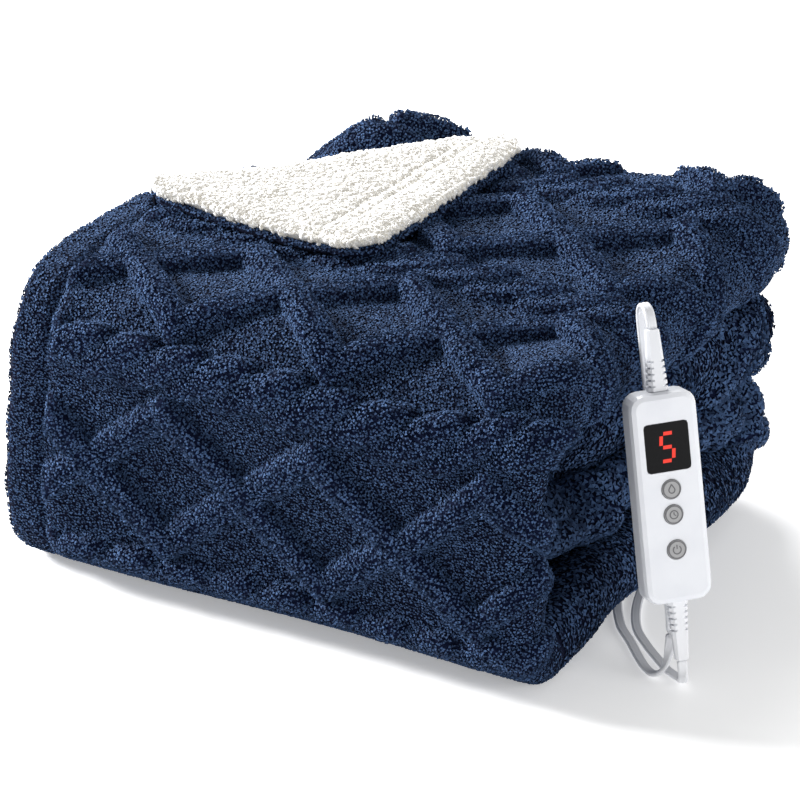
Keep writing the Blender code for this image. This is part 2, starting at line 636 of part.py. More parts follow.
def smooth_route(points):
    """Points along a smooth curve through the route's own points, closer together where it bends."""
    ends = [points[0] * 2 - points[1]] + points + [points[-1] * 2 - points[-2]]
    fine = []
    for a, b, c, d in zip(ends, ends[1:], ends[2:], ends[3:]):
        for step in range(ROUTE_FINE):
            t = step / ROUTE_FINE
            fine.append(0.5 * (2 * b + (c - a) * t + (2 * a - 5 * b + 4 * c - d) * t ** 2
                               + (3 * b - a - 3 * c + d) * t ** 3))
    fine.append(points[-1])
    result = [fine[0]]
    used = 0.0
    for a, b, c in zip(fine, fine[1:], fine[2:]):
        used += (b - a).length / CORD_STEP + (c - b).angle(b - a) / math.radians(CORD_TURN)
        if used >= 1.0:
            result.append(b)
            used = 0.0
    if used < 0.4:
        result.pop()
    return result + [fine[-1]]


def cord(name, points, finish):
    """Round tube on a smooth curve, with closed ends."""
    curve = bpy.data.curves.new(name, "CURVE")
    curve.dimensions = "3D"
    curve.bevel_depth = CORD_DIAMETER / 2
    curve.bevel_resolution = 2
    curve.use_fill_caps = True
    spline = curve.splines.new("POLY")
    spline.points.add(len(points) - 1)
    for slot, point in zip(spline.points, points):
        slot.co = (*point, 1.0)
    thing = bpy.data.objects.new(name, curve)
    curve.materials.append(finish)
    bpy.context.scene.collection.objects.link(thing)
    return thing


def turned_ring(inner, outer, height, sides=28):
    """Coil's outer shape: a ring with rounded shoulders, standing on z = 0."""
    soft = height * COIL_SOFT
    outline = ((inner, soft), (inner + soft, 0.0), (outer - soft, 0.0), (outer, soft),
               (outer, height - soft), (outer - soft, height), (inner + soft, height), (inner, height - soft))
    bm = bmesh.new()
    rings = []
    for side in range(sides):
        angle = 2 * math.pi * side / sides
        rings.append([bm.verts.new((r * math.cos(angle), r * math.sin(angle), z)) for r, z in outline])
    for side in range(sides):
        near, far = rings[side], rings[(side + 1) % sides]
        for i in range(len(outline)):
            j = (i + 1) % len(outline)
            bm.faces.new((near[i], near[j], far[j], far[i]))
    return bm


def tie_mesh():
    """Square-cornered band round the coil's bundle of turns, standing on the floor."""
    middle = (COIL_INNER + COIL_OUTER) / 2
    inside = ((COIL_OUTER - COIL_INNER) / 2 + 3 * CLEAR, COIL_HEIGHT / 2 + CLEAR)
    outside = (inside[0] + TIE_WALL, inside[1] + TIE_WALL)
    bm = bmesh.new()
    loops = []
    for half_x, half_z in (inside, outside):
        for half_y in (-TIE_WIDTH / 2, TIE_WIDTH / 2):
            loops.append([bm.verts.new((middle + x * half_x, half_y, z * half_z))
                          for x, z in ((1, 1), (-1, 1), (-1, -1), (1, -1))])
    inner_near, inner_far, outer_near, outer_far = loops
    for i in range(4):
        j = (i + 1) % 4
        bm.faces.new((inner_near[i], inner_far[i], inner_far[j], inner_near[j]))
        bm.faces.new((outer_near[i], outer_near[j], outer_far[j], outer_far[i]))
        bm.faces.new((inner_near[i], inner_near[j], outer_near[j], outer_near[i]))
        bm.faces.new((inner_far[i], outer_far[i], outer_far[j], inner_far[j]))
    return bm


def build_blanket(navy, sherpa):
    blanket = add_object("blanket", blanket_mesh(), navy)
    top = FLAP_LIFT + NAVY_LAYER
    middle = (FLAP_LIFT + top) / 2
    share, drop = CREST_SHOULDER
    bend = ((-CREST_ROOT * share, top - drop), (-CREST_ROOT, middle),
            (-CREST_ROOT, CREST_SUNK), (CREST_SEAT, CREST_SUNK))
    fold = add_object("corner_fold", flap_slab(FLAP_LIFT, top, bend, hub=-1), navy)
    fold.hide_render = True
    fold.display_type = "WIRE"
    join = blanket.modifiers.new("corner_fold", "BOOLEAN")
    join.operation = "UNION"
    join.solver = "EXACT"
    join.object = fold
    bottom = top + CLEAR
    upper = bottom + SHERPA_LAYER
    outside = CREST_ROOT + SHERPA_LAYER
    inside = CREST_ROOT + 2 * CLEAR
    skirt = FLAP_LIFT + WRAP_SKIRT
    share, drop = WRAP_SHOULDER
    wrap = ((-outside * share, upper - drop), (-outside, bottom + SHERPA_LAYER * WRAP_SIDE),
            (-outside, skirt), (-inside, skirt), (-inside, bottom))
    add_object("lining", flap_slab(bottom, upper, wrap, hub=-2), sherpa)


def build_handset(white, grey, black, place):
    size = (HANDSET_WIDTH, HANDSET_LENGTH, HANDSET_THICKNESS)
    shell = rounded_block(*size, HANDSET_CORNER, HANDSET_EDGE, 4, 2)
    body = add_object("handset_body", shell, white, place)
    face = HANDSET_THICKNESS / 2
    width, height, depth = WINDOW_SIZE
    size = (width + 2 * CLEAR, height + 2 * CLEAR, 2 * (depth + CLEAR))
    pocket = rounded_block(*size, WINDOW_CORNER, 0.0, 2, 1)
    cut(body, "window_pocket", pocket, place @ Matrix.Translation((0, WINDOW_Y, face)))
    window = rounded_block(width, height, depth, WINDOW_CORNER - CLEAR / 2, 0.0, 2, 1)
    add_object("display_window", window, black, place @ Matrix.Translation((0, WINDOW_Y, face - depth / 2)))
    for name, along in BUTTONS:
        well = disc(BUTTON_RADIUS + CLEAR, 2 * WELL_DEPTH, 0.0)
        cut(body, name + "_well", well, place @ Matrix.Translation((0, along, face)))
        button = disc(BUTTON_RADIUS, BUTTON_HEIGHT, BUTTON_SOFT)
        middle = face + BUTTON_PROUD - BUTTON_HEIGHT / 2
        add_object(name, button, grey, place @ Matrix.Translation((0, along, middle)))
    end = HANDSET_LENGTH / 2 + CLEAR
    add_object("relief_top", relief_mesh(), white, place @ Matrix.Translation((0, end, 0)))
    half_turn = Matrix.Rotation(math.pi, 4, "Z")
    add_object("relief_bottom", relief_mesh(), white, place @ Matrix.Translation((0, -end, 0)) @ half_turn)


def build_leads(white, steel, place):
    first = [place @ Vector(p) for p in BLANKET_LEAD_HANDSET] + [Vector(p) for p in BLANKET_LEAD_FLOOR]
    tip = HANDSET_LENGTH / 2 + RELIEF_LENGTH + 2 * CLEAR
    cord("blanket_lead", smooth_route([place @ Vector((0, tip, 0))] + first), white)
    second = [place @ Vector(p) for p in MAINS_LEAD_HANDSET] + [Vector(p) for p in MAINS_LEAD_FLOOR]
    cord("mains_lead", smooth_route([place @ Vector((0, -tip - CLEAR, 0))] + second), white)
    centre = Matrix.Translation((*COIL_CENTRE, TIE_WALL + 2 * CLEAR))
    add_object("mains_coil", turned_ring(COIL_INNER, COIL_OUTER, COIL_HEIGHT), white, centre)
    turn = Matrix.Rotation(math.radians(TIE_ANGLE), 4, "Z")
    raise_tie = Matrix.Translation((0, 0, COIL_HEIGHT / 2))
    add_object("coil_tie", tie_mesh(), white, centre @ turn @ raise_tie)
    width, length, depth = PLUG_SIZE
    cord("plug_lead", smooth_route([Vector(p) for p in PLUG_LEAD]), white)
    plug = rounded_block(width, length, depth, PLUG_CORNER, PLUG_EDGE, 3, 2)
    plug_place = Matrix.Translation((*PLUG_PLACE, depth / 2)) @ Matrix.Rotation(math.pi / 2, 4, "Z")
    add_object("plug_body", plug, white, plug_place)
    for number, side in enumerate((-1, 1), 1):
        blade = rounded_block(*BLADE_SIZE, BLADE_CORNER, 0.0, 1, 1)
        along = length / 2 + CLEAR + BLADE_SIZE[1] / 2
        add_object("plug_blade_%d" % number, blade, steel,
                   plug_place @ Matrix.Translation((side * BLADE_SPACING / 2, along, 0)))


def build():
    for old in list(bpy.data.objects):
        bpy.data.objects.remove(old, do_unlink=True)
    navy = material("navy plush", (0.020, 0.042, 0.115), 0.95)
    sherpa = material("white sherpa", (0.90, 0.87, 0.80), 0.95)
    white = material("white plastic", (0.84, 0.85, 0.87), 0.35)
    grey = material("grey button", (0.36, 0.36, 0.36), 0.50)
    black = material("display window", (0.012, 0.012, 0.014), 0.18)
    steel = material("plug blade", (0.75, 0.72, 0.66), 0.30, 1.0)
    place = handset_matrix()
    build_blanket(navy, sherpa)
    build_handset(white, grey, black, place)
    build_leads(white, steel, place)


build()
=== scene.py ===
import math

import bmesh
import bpy
from mathutils import Matrix, Vector, noise


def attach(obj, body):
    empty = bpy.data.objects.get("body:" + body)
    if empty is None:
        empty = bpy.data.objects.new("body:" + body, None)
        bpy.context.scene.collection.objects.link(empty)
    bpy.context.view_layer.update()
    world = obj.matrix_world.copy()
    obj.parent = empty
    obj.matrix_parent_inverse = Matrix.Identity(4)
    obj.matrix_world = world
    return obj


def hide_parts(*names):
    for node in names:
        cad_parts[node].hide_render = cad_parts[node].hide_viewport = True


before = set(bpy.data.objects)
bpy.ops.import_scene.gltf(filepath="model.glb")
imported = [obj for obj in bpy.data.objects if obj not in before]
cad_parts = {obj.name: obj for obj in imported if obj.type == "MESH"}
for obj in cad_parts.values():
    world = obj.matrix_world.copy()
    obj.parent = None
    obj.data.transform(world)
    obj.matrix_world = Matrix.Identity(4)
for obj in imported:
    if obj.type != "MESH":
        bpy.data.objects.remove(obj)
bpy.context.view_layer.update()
print("frame loaded:", len(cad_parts), "nodes")
noise.seed_set(11)  # without a seed the dents follow the clock


def smooth(value):
    value = min(1.0, max(0.0, value))
    return value * value * (3.0 - 2.0 * value)


def ramp(value, low, high):
    return smooth((value - low) / (high - low))


weld = 0.00002  # points closer than this are one


def tint(red, green, blue):
    # screen colour, 0 to 255, as the linear colour that a shader takes
    parts = [channel / 255 for channel in (red, green, blue)]
    return tuple(c / 12.92 if c <= 0.04045 else ((c + 0.055) / 1.055) ** 2.4 for c in parts) + (1.0,)


# ---- node trees written as plain arithmetic ----
class Value:
    def __init__(self, graph, socket):
        self.graph, self.socket = graph, socket

    def __add__(self, other):
        return self.graph.maths("ADD", self, other)

    def __mul__(self, other):
        return self.graph.maths("MULTIPLY", self, other)

    def twin(self, name):
        # another output of the same node
        return Value(self.graph, self.socket.node.outputs[name])

    __radd__ = __add__
    __rmul__ = __mul__


class Graph:
    def __init__(self, tree):
        self.tree = tree

    def add(self, kind, settings=None, inputs=None, output=0):
        made = self.tree.nodes.new(kind)
        for name, setting in (settings or {}).items():
            setattr(made, name, setting)
        for name, given in (inputs or {}).items():
            if isinstance(given, Value):
                self.tree.links.new(given.socket, made.inputs[name])
            else:
                made.inputs[name].default_value = given
        return Value(self, made.outputs[output]) if len(made.outputs) else made

    def maths(self, operation, first, second):
        return self.add("ShaderNodeMath", dict(operation=operation), {0: first, 1: second})

    def vectors(self, operation, first, second):
        key = "Scale" if operation == "SCALE" else 1
        return self.add("ShaderNodeVectorMath", dict(operation=operation), {0: first, key: second})

    def mix(self, share, first, second):
        return self.add("ShaderNodeMix", dict(data_type="RGBA"), {0: share, 6: first, 7: second}, output=2)

    def between(self, value, low, high):
        inputs = {"Value": value, "From Min": low, "From Max": high}
        return self.add("ShaderNodeMapRange", dict(interpolation_type="SMOOTHSTEP"), inputs)

    def attribute(self, name):
        return self.add("ShaderNodeAttribute", dict(attribute_name=name), output="Fac")

    def spots(self, scale, detail=2.0):
        place = self.add("ShaderNodeTexCoord", output="Object")
        return self.add("ShaderNodeTexNoise", None, {"Vector": place, "Scale": scale, "Detail": detail})


def finish(name, paint, **fixed):
    # a Principled material: fixed sockets by name, and the links that paint gives
    material = bpy.data.materials.new(name)
    material.use_nodes = True
    graph = Graph(material.node_tree)
    shader = material.node_tree.nodes["Principled BSDF"]
    for socket, value in fixed.items():
        shader.inputs[socket.replace("_", " ")].default_value = value
    for socket, value in (paint(graph) if paint else {}).items():
        graph.tree.links.new(value.socket, shader.inputs[socket])
    return material


def meshObject(name, bm, rounded=True):
    mesh = bpy.data.meshes.new(name)
    bm.to_mesh(mesh)
    bm.free()
    if rounded:
        mesh.shade_smooth()
    thing = bpy.data.objects.new(name, mesh)
    bpy.context.scene.collection.objects.link(thing)
    return thing


def newObject(name, bm, material, body="bundle", crease=40):
    thing = meshObject(name, bm)
    if crease:
        thing.data.set_sharp_from_angle(angle=math.radians(crease))
    thing.data.materials.append(material)
    if body:
        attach(thing, body)
    return thing


def mappedGrid(columns, rows, place):
    bm = bmesh.new()
    bmesh.ops.create_grid(bm, x_segments=columns, y_segments=rows, size=0.5)
    for vert in bm.verts:
        vert.co = place(round((vert.co.x + 0.5) * columns), round((vert.co.y + 0.5) * rows))
    return bm


# ---- camera, floor and light ----
view = {
    "azimuth": 29.5, "elevation": 26.7, "distance": 2.80, "lens": 204.0,
    "aim": (0.0, 0.0, 0.090), "sensor": 36.0,
}
studio = {
    "sky": 0.42, "floorSize": 8.0, "floorGlow": 0.32,
    "key": dict(right=-1.9, up=0.95, near=-0.50, size=0.5, power=95.0),
    "fill": dict(right=1.5, up=0.6, near=1.1, size=0.8, power=12.0),
    "rim": dict(right=-0.3, up=1.4, near=-1.4, size=0.8, power=32.0),
}


def viewAxes():
    turn, rise = math.radians(view["azimuth"]), math.radians(view["elevation"])
    away = Vector((math.sin(turn) * math.cos(rise), -math.cos(turn) * math.cos(rise), math.sin(rise)))
    right = Vector((math.cos(turn), math.sin(turn), 0.0))
    return away, right


def makeCamera():
    away, right = viewAxes()
    lens = bpy.data.cameras.new("camera")
    lens.lens = view["lens"]
    lens.sensor_width = view["sensor"]
    camera = bpy.data.objects.new("camera", lens)
    camera.location = Vector(view["aim"]) + away * view["distance"]
    camera.rotation_euler = away.to_track_quat("Z", "Y").to_euler()
    bpy.context.scene.collection.objects.link(camera)
    bpy.context.scene.camera = camera


def makeStudio():
    bpy.context.scene.view_settings.view_transform = "Standard"
    world = bpy.data.worlds.new("studio")
    world.use_nodes = True
    sky = world.node_tree.nodes["Background"]
    sky.inputs["Color"].default_value = (1.0, 1.0, 1.0, 1.0)
    sky.inputs["Strength"].default_value = studio["sky"]
    bpy.context.scene.world = world
    away, right = viewAxes()
    level = Vector((away.x, away.y, 0.0)).normalized()
    for name in ("key", "fill", "rim"):
        lamp = studio[name]
        light = bpy.data.lights.new(name, "AREA")
        light.energy = lamp["power"]
        light.size = lamp["size"]
        holder = bpy.data.objects.new(name, light)
        holder.location = right * lamp["right"] + level * lamp["near"] + Vector((0, 0, lamp["up"]))
        holder.rotation_euler = (holder.location - Vector(view["aim"])).to_track_quat("Z", "Y").to_euler()
        bpy.context.scene.collection.objects.link(holder)
    bm = bmesh.new()
    bmesh.ops.create_grid(bm, x_segments=1, y_segments=1, size=studio["floorSize"] / 2)
    pale = finish("pale floor", None, Base_Color=(0.93, 0.93, 0.93, 1.0), Roughness=0.7,
                  Emission_Color=(1.0, 1.0, 1.0, 1.0), Emission_Strength=studio["floorGlow"])
    newObject("floor", bm, pale, None)


makeCamera()
makeStudio()
print("camera, floor and lights made")

# ---- handset's own frame: X across, Y along, Z out of its face ----
handset = {
    "length": 0.125, "foot": (0.2345, -0.0872, 0.0560), "axis": (-0.0290, 0.0240, 0.1290), "facing": 46.0,
}


def handsetMatrix():
    axis = Vector(handset["axis"]).normalized()
    facing = math.radians(handset["facing"])
    out = Vector((math.sin(facing), -math.cos(facing), 0.0))
    out = (out - axis * out.dot(axis)).normalized()
    middle = Vector(handset["foot"]) + axis * handset["length"] / 2
    turn = Matrix((axis.cross(out), axis, out)).transposed().to_4x4()
    return Matrix.Translation(middle) @ turn


handsetPlace = handsetMatrix()

# ---- leads: routes first in the handset's frame, then over the floor, with the flat side's facing ----
lead = {
    "width": 0.0062, "thickness": 0.0031, "ribs": 3, "ribDepth": 0.00042, "round": 28, "step": 0.0022,
    "sideRound": 0.75, "faceRound": 0.6, "floorGap": 0.0003, "settleFrom": 0.012, "settleOver": 0.008,
    "blanketLength": 0.60, "mainsLength": 1.80,
}
leadFloor = lead["thickness"] / 2 + lead["floorGap"]
routeFloor = lead["width"] / 2 + lead["floorGap"]
out, over, back, up, down = (0, 0, 1), (0, 1, 0), (0, 0, -1), (0, 0, 1), (0, 0, -1)
blanketRouteHandset = (
    (0.0, 0.0994, 0.0, out), (0.0, 0.1025, 0.0, out), (-0.0003, 0.1090, -0.0022, out),
    (-0.0006, 0.1120, -0.0078, over), (-0.0008, 0.1090, -0.0134, back), (-0.0008, 0.1010, -0.0155, back),
    (-0.0006, 0.0810, -0.0155, back), (-0.0004, 0.0400, -0.0155, back), (-0.0002, -0.0050, -0.0155, back),
    (0.0, -0.0500, -0.0152, back), (0.0, -0.0760, -0.0140, back),
)
blanketRouteFloor = (
    (0.2299, -0.0838, 0.0270), (0.2299, -0.0865, 0.0160), (0.2274, -0.0888, 0.0080),
    (0.2215, -0.0878, 0.0042), (0.2135, -0.0822, routeFloor), (0.2057, -0.0746, routeFloor),
    (0.1925, -0.0600, routeFloor), (0.1760, -0.0420, routeFloor), (0.1590, -0.0100, routeFloor),
    (0.1505, 0.0350, routeFloor), (0.1500, 0.0900, routeFloor),
    (0.1480, 0.1320, routeFloor), (0.1400, 0.1520, routeFloor), (0.1200, 0.1610, routeFloor),
    (0.0960, 0.1580, routeFloor), (0.0780, 0.1500, routeFloor), (0.0640, 0.1425, routeFloor),
)
mainsRouteHandset = ((0.0, -0.0997, 0.0, out), (0.0, -0.1022, 0.0, out))
mainsRouteFloor = (
    (0.2440, -0.0945, 0.0120), (0.2425, -0.0918, 0.0070), (0.2380, -0.0852, 0.0040),
    (0.2265, -0.0788, routeFloor), (0.2176, -0.0717, routeFloor), (0.2030, -0.0590, routeFloor),
    (0.1880, -0.0430, routeFloor), (0.1755, -0.0185, routeFloor), (0.1655, 0.0150, routeFloor),
    (0.1600, 0.0500, routeFloor), (0.1590, 0.0900, routeFloor), (0.1585, 0.1280, routeFloor),
    (0.1580, 0.1480, routeFloor), (0.1520, 0.1645, routeFloor), (0.1400, 0.1760, routeFloor),
    (0.1240, 0.1832, routeFloor), (0.1095, 0.1900, routeFloor), (0.1012, 0.2015, routeFloor),
)
coil = {
    "centre": (0.0560, 0.2180), "inner": 0.0268, "outer": 0.0398, "foot": 0.0018, "height": 0.0128,
    "turns": 6.25, "pointsPerTurn": 24, "rise": 0.30, "slack": 0.0002,
}
plugRoute = ((0.0470, 0.2613, 0.0086), (0.0370, 0.2607, 0.0088), (0.0287, 0.2600, 0.0090))


def smoothRoute(points, step):
    # Catmull-Rom through points of any number of coordinates
    points = [[float(n) for n in point] for point in points]
    count = len(points[0])
    points.insert(0, [2 * a - b for a, b in zip(points[0], points[1])])
    points.append([2 * a - b for a, b in zip(points[-1], points[-2])])
    fine = []
    for a, b, c, d in zip(points, points[1:], points[2:], points[3:]):
        pieces = max(2, math.ceil(math.dist(b[:3], c[:3]) / step))
        for piece in range(pieces):
            t = piece / pieces
            fine.append([0.5 * (2 * b[n] + (c[n] - a[n]) * t + (2 * a[n] - 5 * b[n] + 4 * c[n] - d[n]) * t ** 2
                                + (3 * b[n] - a[n] - 3 * c[n] + d[n]) * t ** 3) for n in range(count)])
    fine.append(points[-2])
    return fine


def fromHandset(rows):
    turn = handsetPlace.to_3x3()
    return [(*(handsetPlace @ Vector(row[:3])), *(turn @ Vector(row[3]))) for row in rows]


def onFloor(rows, facing):
    # the flat cord lies lower than the round tube of the same width
    drop = routeFloor - leadFloor
    high, reach = lead["settleFrom"], lead["settleOver"]
    return [(x, y, max(leadFloor, z - drop * ramp(high - z, 0.0, reach)), *facing) for x, y, z in rows]


def coilRoute():
    # lower layer wound inwards, upper layer wound outwards, the flat side standing upright
    inner = coil["inner"] + lead["thickness"] / 2 + coil["slack"]
    outer = coil["outer"] - lead["thickness"] / 2 - coil["slack"]
    low = coil["foot"] + lead["width"] / 2
    high = coil["foot"] + coil["height"] - lead["width"] / 2
    total = round(coil["turns"] * coil["pointsPerTurn"])
    rows = []
    for number in range(total + 1):
        turn = number / coil["pointsPerTurn"]
        share = number / total
        swing = abs(2 * share - 1.0)
        radius = inner + (outer - inner) * swing
        climb = smooth((turn - coil["turns"] / 2) / coil["rise"] + 0.5)
        angle = 2 * math.pi * turn
        radial = (math.cos(angle), math.sin(angle))
        z = low + (high - low) * climb
        rows.append((coil["centre"][0] + radius * radial[0], coil["centre"][1] + radius * radial[1], z,
                     *radial, 0.0))
    return rows


def leadOutline():
    # flat section with soft ribs along both broad faces
    halfWidth, halfThick = lead["width"] / 2, lead["thickness"] / 2
    outline = []
    for number in range(lead["round"]):
        angle = 2 * math.pi * number / lead["round"]
        across = math.copysign(abs(math.cos(angle)) ** lead["sideRound"], math.cos(angle))
        rib = 0.5 - 0.5 * math.cos(math.pi * lead["ribs"] * (across + 1.0))
        lift = math.copysign(abs(math.sin(angle)) ** lead["faceRound"], math.sin(angle))
        outline.append((halfWidth * across, lift * (halfThick - lead["ribDepth"] * (1.0 - rib))))
    return outline


def sweep(route, outline):
    # closed body of that outline along a route whose rows hold a place and the flat side's facing
    spots = [Vector(row[:3]) for row in route]
    frames = []
    for number, row in enumerate(route):
        along = (spots[min(number + 1, len(spots) - 1)] - spots[max(number - 1, 0)]).normalized()
        facing = Vector(row[3:])
        facing = (facing - along * facing.dot(along)).normalized()
        frames.append((spots[number], along.cross(facing), facing))

    def place(column, line):
        spot, across, facing = frames[line]
        x, z = outline[column % len(outline)]
        return spot + across * x + facing * z

    bm = mappedGrid(len(outline), len(route) - 1, place)
    bmesh.ops.remove_doubles(bm, verts=bm.verts, dist=weld)
    bmesh.ops.holes_fill(bm, edges=[edge for edge in bm.edges if edge.is_boundary], sides=0)
    bmesh.ops.recalc_face_normals(bm, faces=bm.faces)
    return bm


def leadFinish():
    def paint(graph):
        mottle = graph.spots(60.0, 3.0)
        grime = graph.spots(9.0, 2.0)
        colour = graph.mix(graph.between(grime, 0.35, 0.75), tint(236, 237, 240), tint(226, 228, 233))
        bump = graph.add("ShaderNodeBump", None, {"Strength": 0.06, "Distance": 0.0002, "Height": mottle})
        return {"Base Color": colour, "Roughness": 0.34 + 0.10 * mottle, "Normal": bump}
    return finish("white vinyl", paint, Specular_IOR_Level=0.45)


leadWhite = leadFinish()
blanketRoute = smoothRoute(fromHandset(blanketRouteHandset) + onFloor(blanketRouteFloor, up), lead["step"])
print("routes ready")

# ---- folded throw ----
throw = {
    "flat": (1.27, 1.52), "depth": 0.310, "height": 0.1905, "halfWidth": 0.190, "plies": 4, "gap": 0.0020,
    "frontRadius": 0.050, "floorRadius": 0.036, "backRadius": 0.04375, "freeEnd": -0.004, "topRoll": 0.052,
    "spineFoot": 0.0395, "floorEase": 0.050, "innerRun": 0.1785, "tuckedRun": 0.2135,
    "leftInset": 0.003, "hemInset": 0.004, "hemRound": 0.0035,
    "seam": 0.023, "seamWidth": 0.0035, "seamDepth": 0.0030,
    "crumple": 0.0016, "crumpleScale": 38.0, "crumpleFrom": (0.002, 0.030), "groundFiner": 1.7,
    "napDown": 0.55, "napFan": 1.0, "napRaised": 0.05,
}
# shares of a ply over which its face comes out of the bundle
showing = {"fold": 0.10, "left": 0.92, "hem": 0.93, "right": 0.05}
topRun = throw["depth"] - throw["freeEnd"] - throw["frontRadius"]
spineRun = throw["height"] - throw["frontRadius"] - throw["floorRadius"]
floorRun = throw["depth"] - throw["floorRadius"] - throw["backRadius"]
floorEase, spineFoot, topRoll = throw["floorEase"], throw["spineFoot"], throw["topRoll"]
startSize = (0.056, 0.183, -0.184)
# stretches of the outer face from the free end at the top of the back:
# kind, length or angle, radius, rows, thickness of the pack, right end, left end, part of the bundle
stretches = (
    ("run", topRun - topRoll, 0.0, 56, 0.056, 0.185, -0.184, "top"),
    ("run", topRoll, 0.0, 15, 0.0485, 0.185, -0.184, "top"),
    ("turn", 90.0, throw["frontRadius"], 22, 0.046, 0.180, -0.184, "front"),
    ("run", spineRun - spineFoot, 0.0, 18, 0.044, 0.175, -0.183, "front"),
    ("run", spineFoot, 0.0, 11, 0.034, 0.177, -0.182, "front"),
    ("turn", 90.0, throw["floorRadius"], 15, 0.033, 0.179, -0.179, "front"),
    ("run", floorEase, 0.0, 9, 0.046, 0.182, -0.178, "floor"),
    ("run", floorRun - 2 * floorEase, 0.0, 19, 0.046, 0.182, -0.179, "floor"),
    ("run", floorEase, 0.0, 7, 0.0425, 0.182, -0.180, "floor"),
    ("turn", 180.0, throw["backRadius"], 24, 0.040, 0.178, -0.180, "back"),
    ("run", throw["innerRun"], 0.0, 26, 0.040, 0.160, -0.178, "inside"),
    ("turn", -180.0, throw["gap"] / 2, 7, 0.044, 0.154, -0.178, "inside"),
    ("run", throw["tuckedRun"], 0.0, 30, 0.044, 0.182, -0.180, "inside"),
)
# parts of the section across the plies, from the top ply's hem: columns, and how they are spaced
plies = (("face", 92, "even"), ("bend", 20, "even"), ("under", 10, "ends"), ("leftBend", 12, "even"),
         ("third", 8, "ends"), ("innerBend", 6, "even"), ("last", 8, "ends"))
levels = (0.0, 0.047, 0.088, 0.134, 0.1905, 0.260)
endLevels = (0.0, 0.056, 0.092, 0.140, 0.1945, 0.264)
endZone, endFull = 0.075, 0.020
# waves in the cloth: direction moved, size, waves along X, Y and Z in radians a metre, phase
waves = (
    ("z", 0.00175, 9.0, 11.0, 0.0, 0.7), ("z", 0.00175, 9.0, -11.0, 0.0, 1.5),
    ("z", 0.0022, 27.0, -15.0, 0.0, 0.0), ("x", 0.0028, 0.0, 21.0, 31.0, 0.0),
    ("y", 0.0030, 17.0, 0.0, 24.0, 0.5),
)
waveRise = 0.120
waveEdge = {"x": (0.05, 0.17), "y": (0.04, 0.14)}
# places pushed up or down: middle, its turn in degrees, reach along and across that line, size, and the
# heights between which it takes effect
mounds = (
    dict(x=-0.084, y=0.128, turn=45.0, long=0.056, wide=0.022, height=0.026, low=0.100, high=0.180),
    dict(x=0.120, y=0.150, turn=0.0, long=0.100, wide=0.070, height=0.009, low=0.060, high=0.180),
    dict(x=0.190, y=-0.120, turn=0.0, long=0.060, wide=0.070, height=0.007, low=0.060, high=0.180),
    dict(x=-0.205, y=0.170, turn=0.0, long=0.098, wide=0.098, height=-0.062, low=0.045, high=0.190),
)
# hollow between the front and the inner folds at the right end
recess = {"x": (0.095, 0.185), "y": (-0.152, -0.112, -0.060, -0.020), "z": (0.070, 0.100, 0.148, 0.172),
          "depth": 0.034}
passage = {"x": 0.104, "reachX": 0.036, "y": -0.085, "reachY": 0.035, "height": 0.0098, "fades": 0.060}
pattern = {
    "width": 0.108, "height": 0.088, "pitch": 0.140, "start": 0.114, "shift": 0.003, "lift": 0.0080,
    "halfWidth": 0.0090, "flat": 0.80, "slope": 0.28, "underBand": 0.86,
    "lobePitch": 0.035, "lobeLength": 0.064, "lobeWidth": 0.0230, "lobeSlant": 0.40, "lobeTail": 0.50,
    "hem": 0.030, "floor": (0.004, 0.030), "packFade": 1.6, "endFade": 1.4,
    "fanStep": 0.0015, "fanLeast": 0.02, "fanReach": 1.25,
}


def clothRows(finer):
    y, z, heading, travel = throw["depth"] / 2 - throw["freeEnd"], throw["height"], math.pi, 0.0
    now = startSize
    rows = [dict(y=y, z=z, heading=heading, travel=0.0, size=now, part="top", end=True)]
    for kind, size, radius, count, thickness, right, left, part in stretches:
        goal = (thickness, right, left)
        length = size if kind == "run" else math.radians(abs(size)) * radius
        turn = math.radians(size) if kind == "turn" else 0.0
        side = 1.0 if turn > 0 else -1.0
        start = (y, z, heading)
        count = math.ceil(count * finer)
        for step in range(1, count + 1):
            share = step / count
            heading = start[2] + turn * share
            if kind == "run":
                y = start[0] + math.cos(heading) * size * share
                z = start[1] + math.sin(heading) * size * share
            else:
                y = start[0] + radius * side * (math.sin(heading) - math.sin(start[2]))
                z = start[1] - radius * side * (math.cos(heading) - math.cos(start[2]))
            mix = smooth(share)
            sizes = tuple(a + (b - a) * mix for a, b in zip(now, goal))
            rows.append(dict(y=y, z=z, heading=heading, travel=travel + length * share, size=sizes, part=part,
                             end=False))
        travel += length
        now = goal
    rows[-1]["end"] = True
    return rows


def clothColumns(finer):
    columns = [("face", 0.0)]
    for name, count, spacing in plies:
        count = math.ceil(count * finer)
        for step in range(1, count + 1):
            share = step / count
            columns.append((name, 0.5 - 0.5 * math.cos(math.pi * share) if spacing == "ends" else share))
    return columns


def section(size):
    # named lengths of the section across the four plies of a pack
    thickness, right, left = size
    pitch = thickness / throw["plies"]
    half = pitch / 2 - throw["gap"] / 2
    rightCentre = right - 1.5 * pitch - half
    leftCentre = left + throw["leftInset"] + pitch + half
    runs = {
        "face": rightCentre - left, "bend": math.pi * (1.5 * pitch + half), "under": rightCentre - leftCentre,
        "leftBend": math.pi * (pitch + half), "third": rightCentre - leftCentre,
        "innerBend": math.pi * (0.5 * pitch + half), "last": rightCentre - leftCentre,
    }
    starts, along = {}, 0.0
    for name, length in runs.items():
        starts[name] = along
        along += length
    return dict(pitch=pitch, half=half, rightCentre=rightCentre, leftCentre=leftCentre, left=left,
                hem=leftCentre + throw["hemInset"], runs=runs, starts=starts)


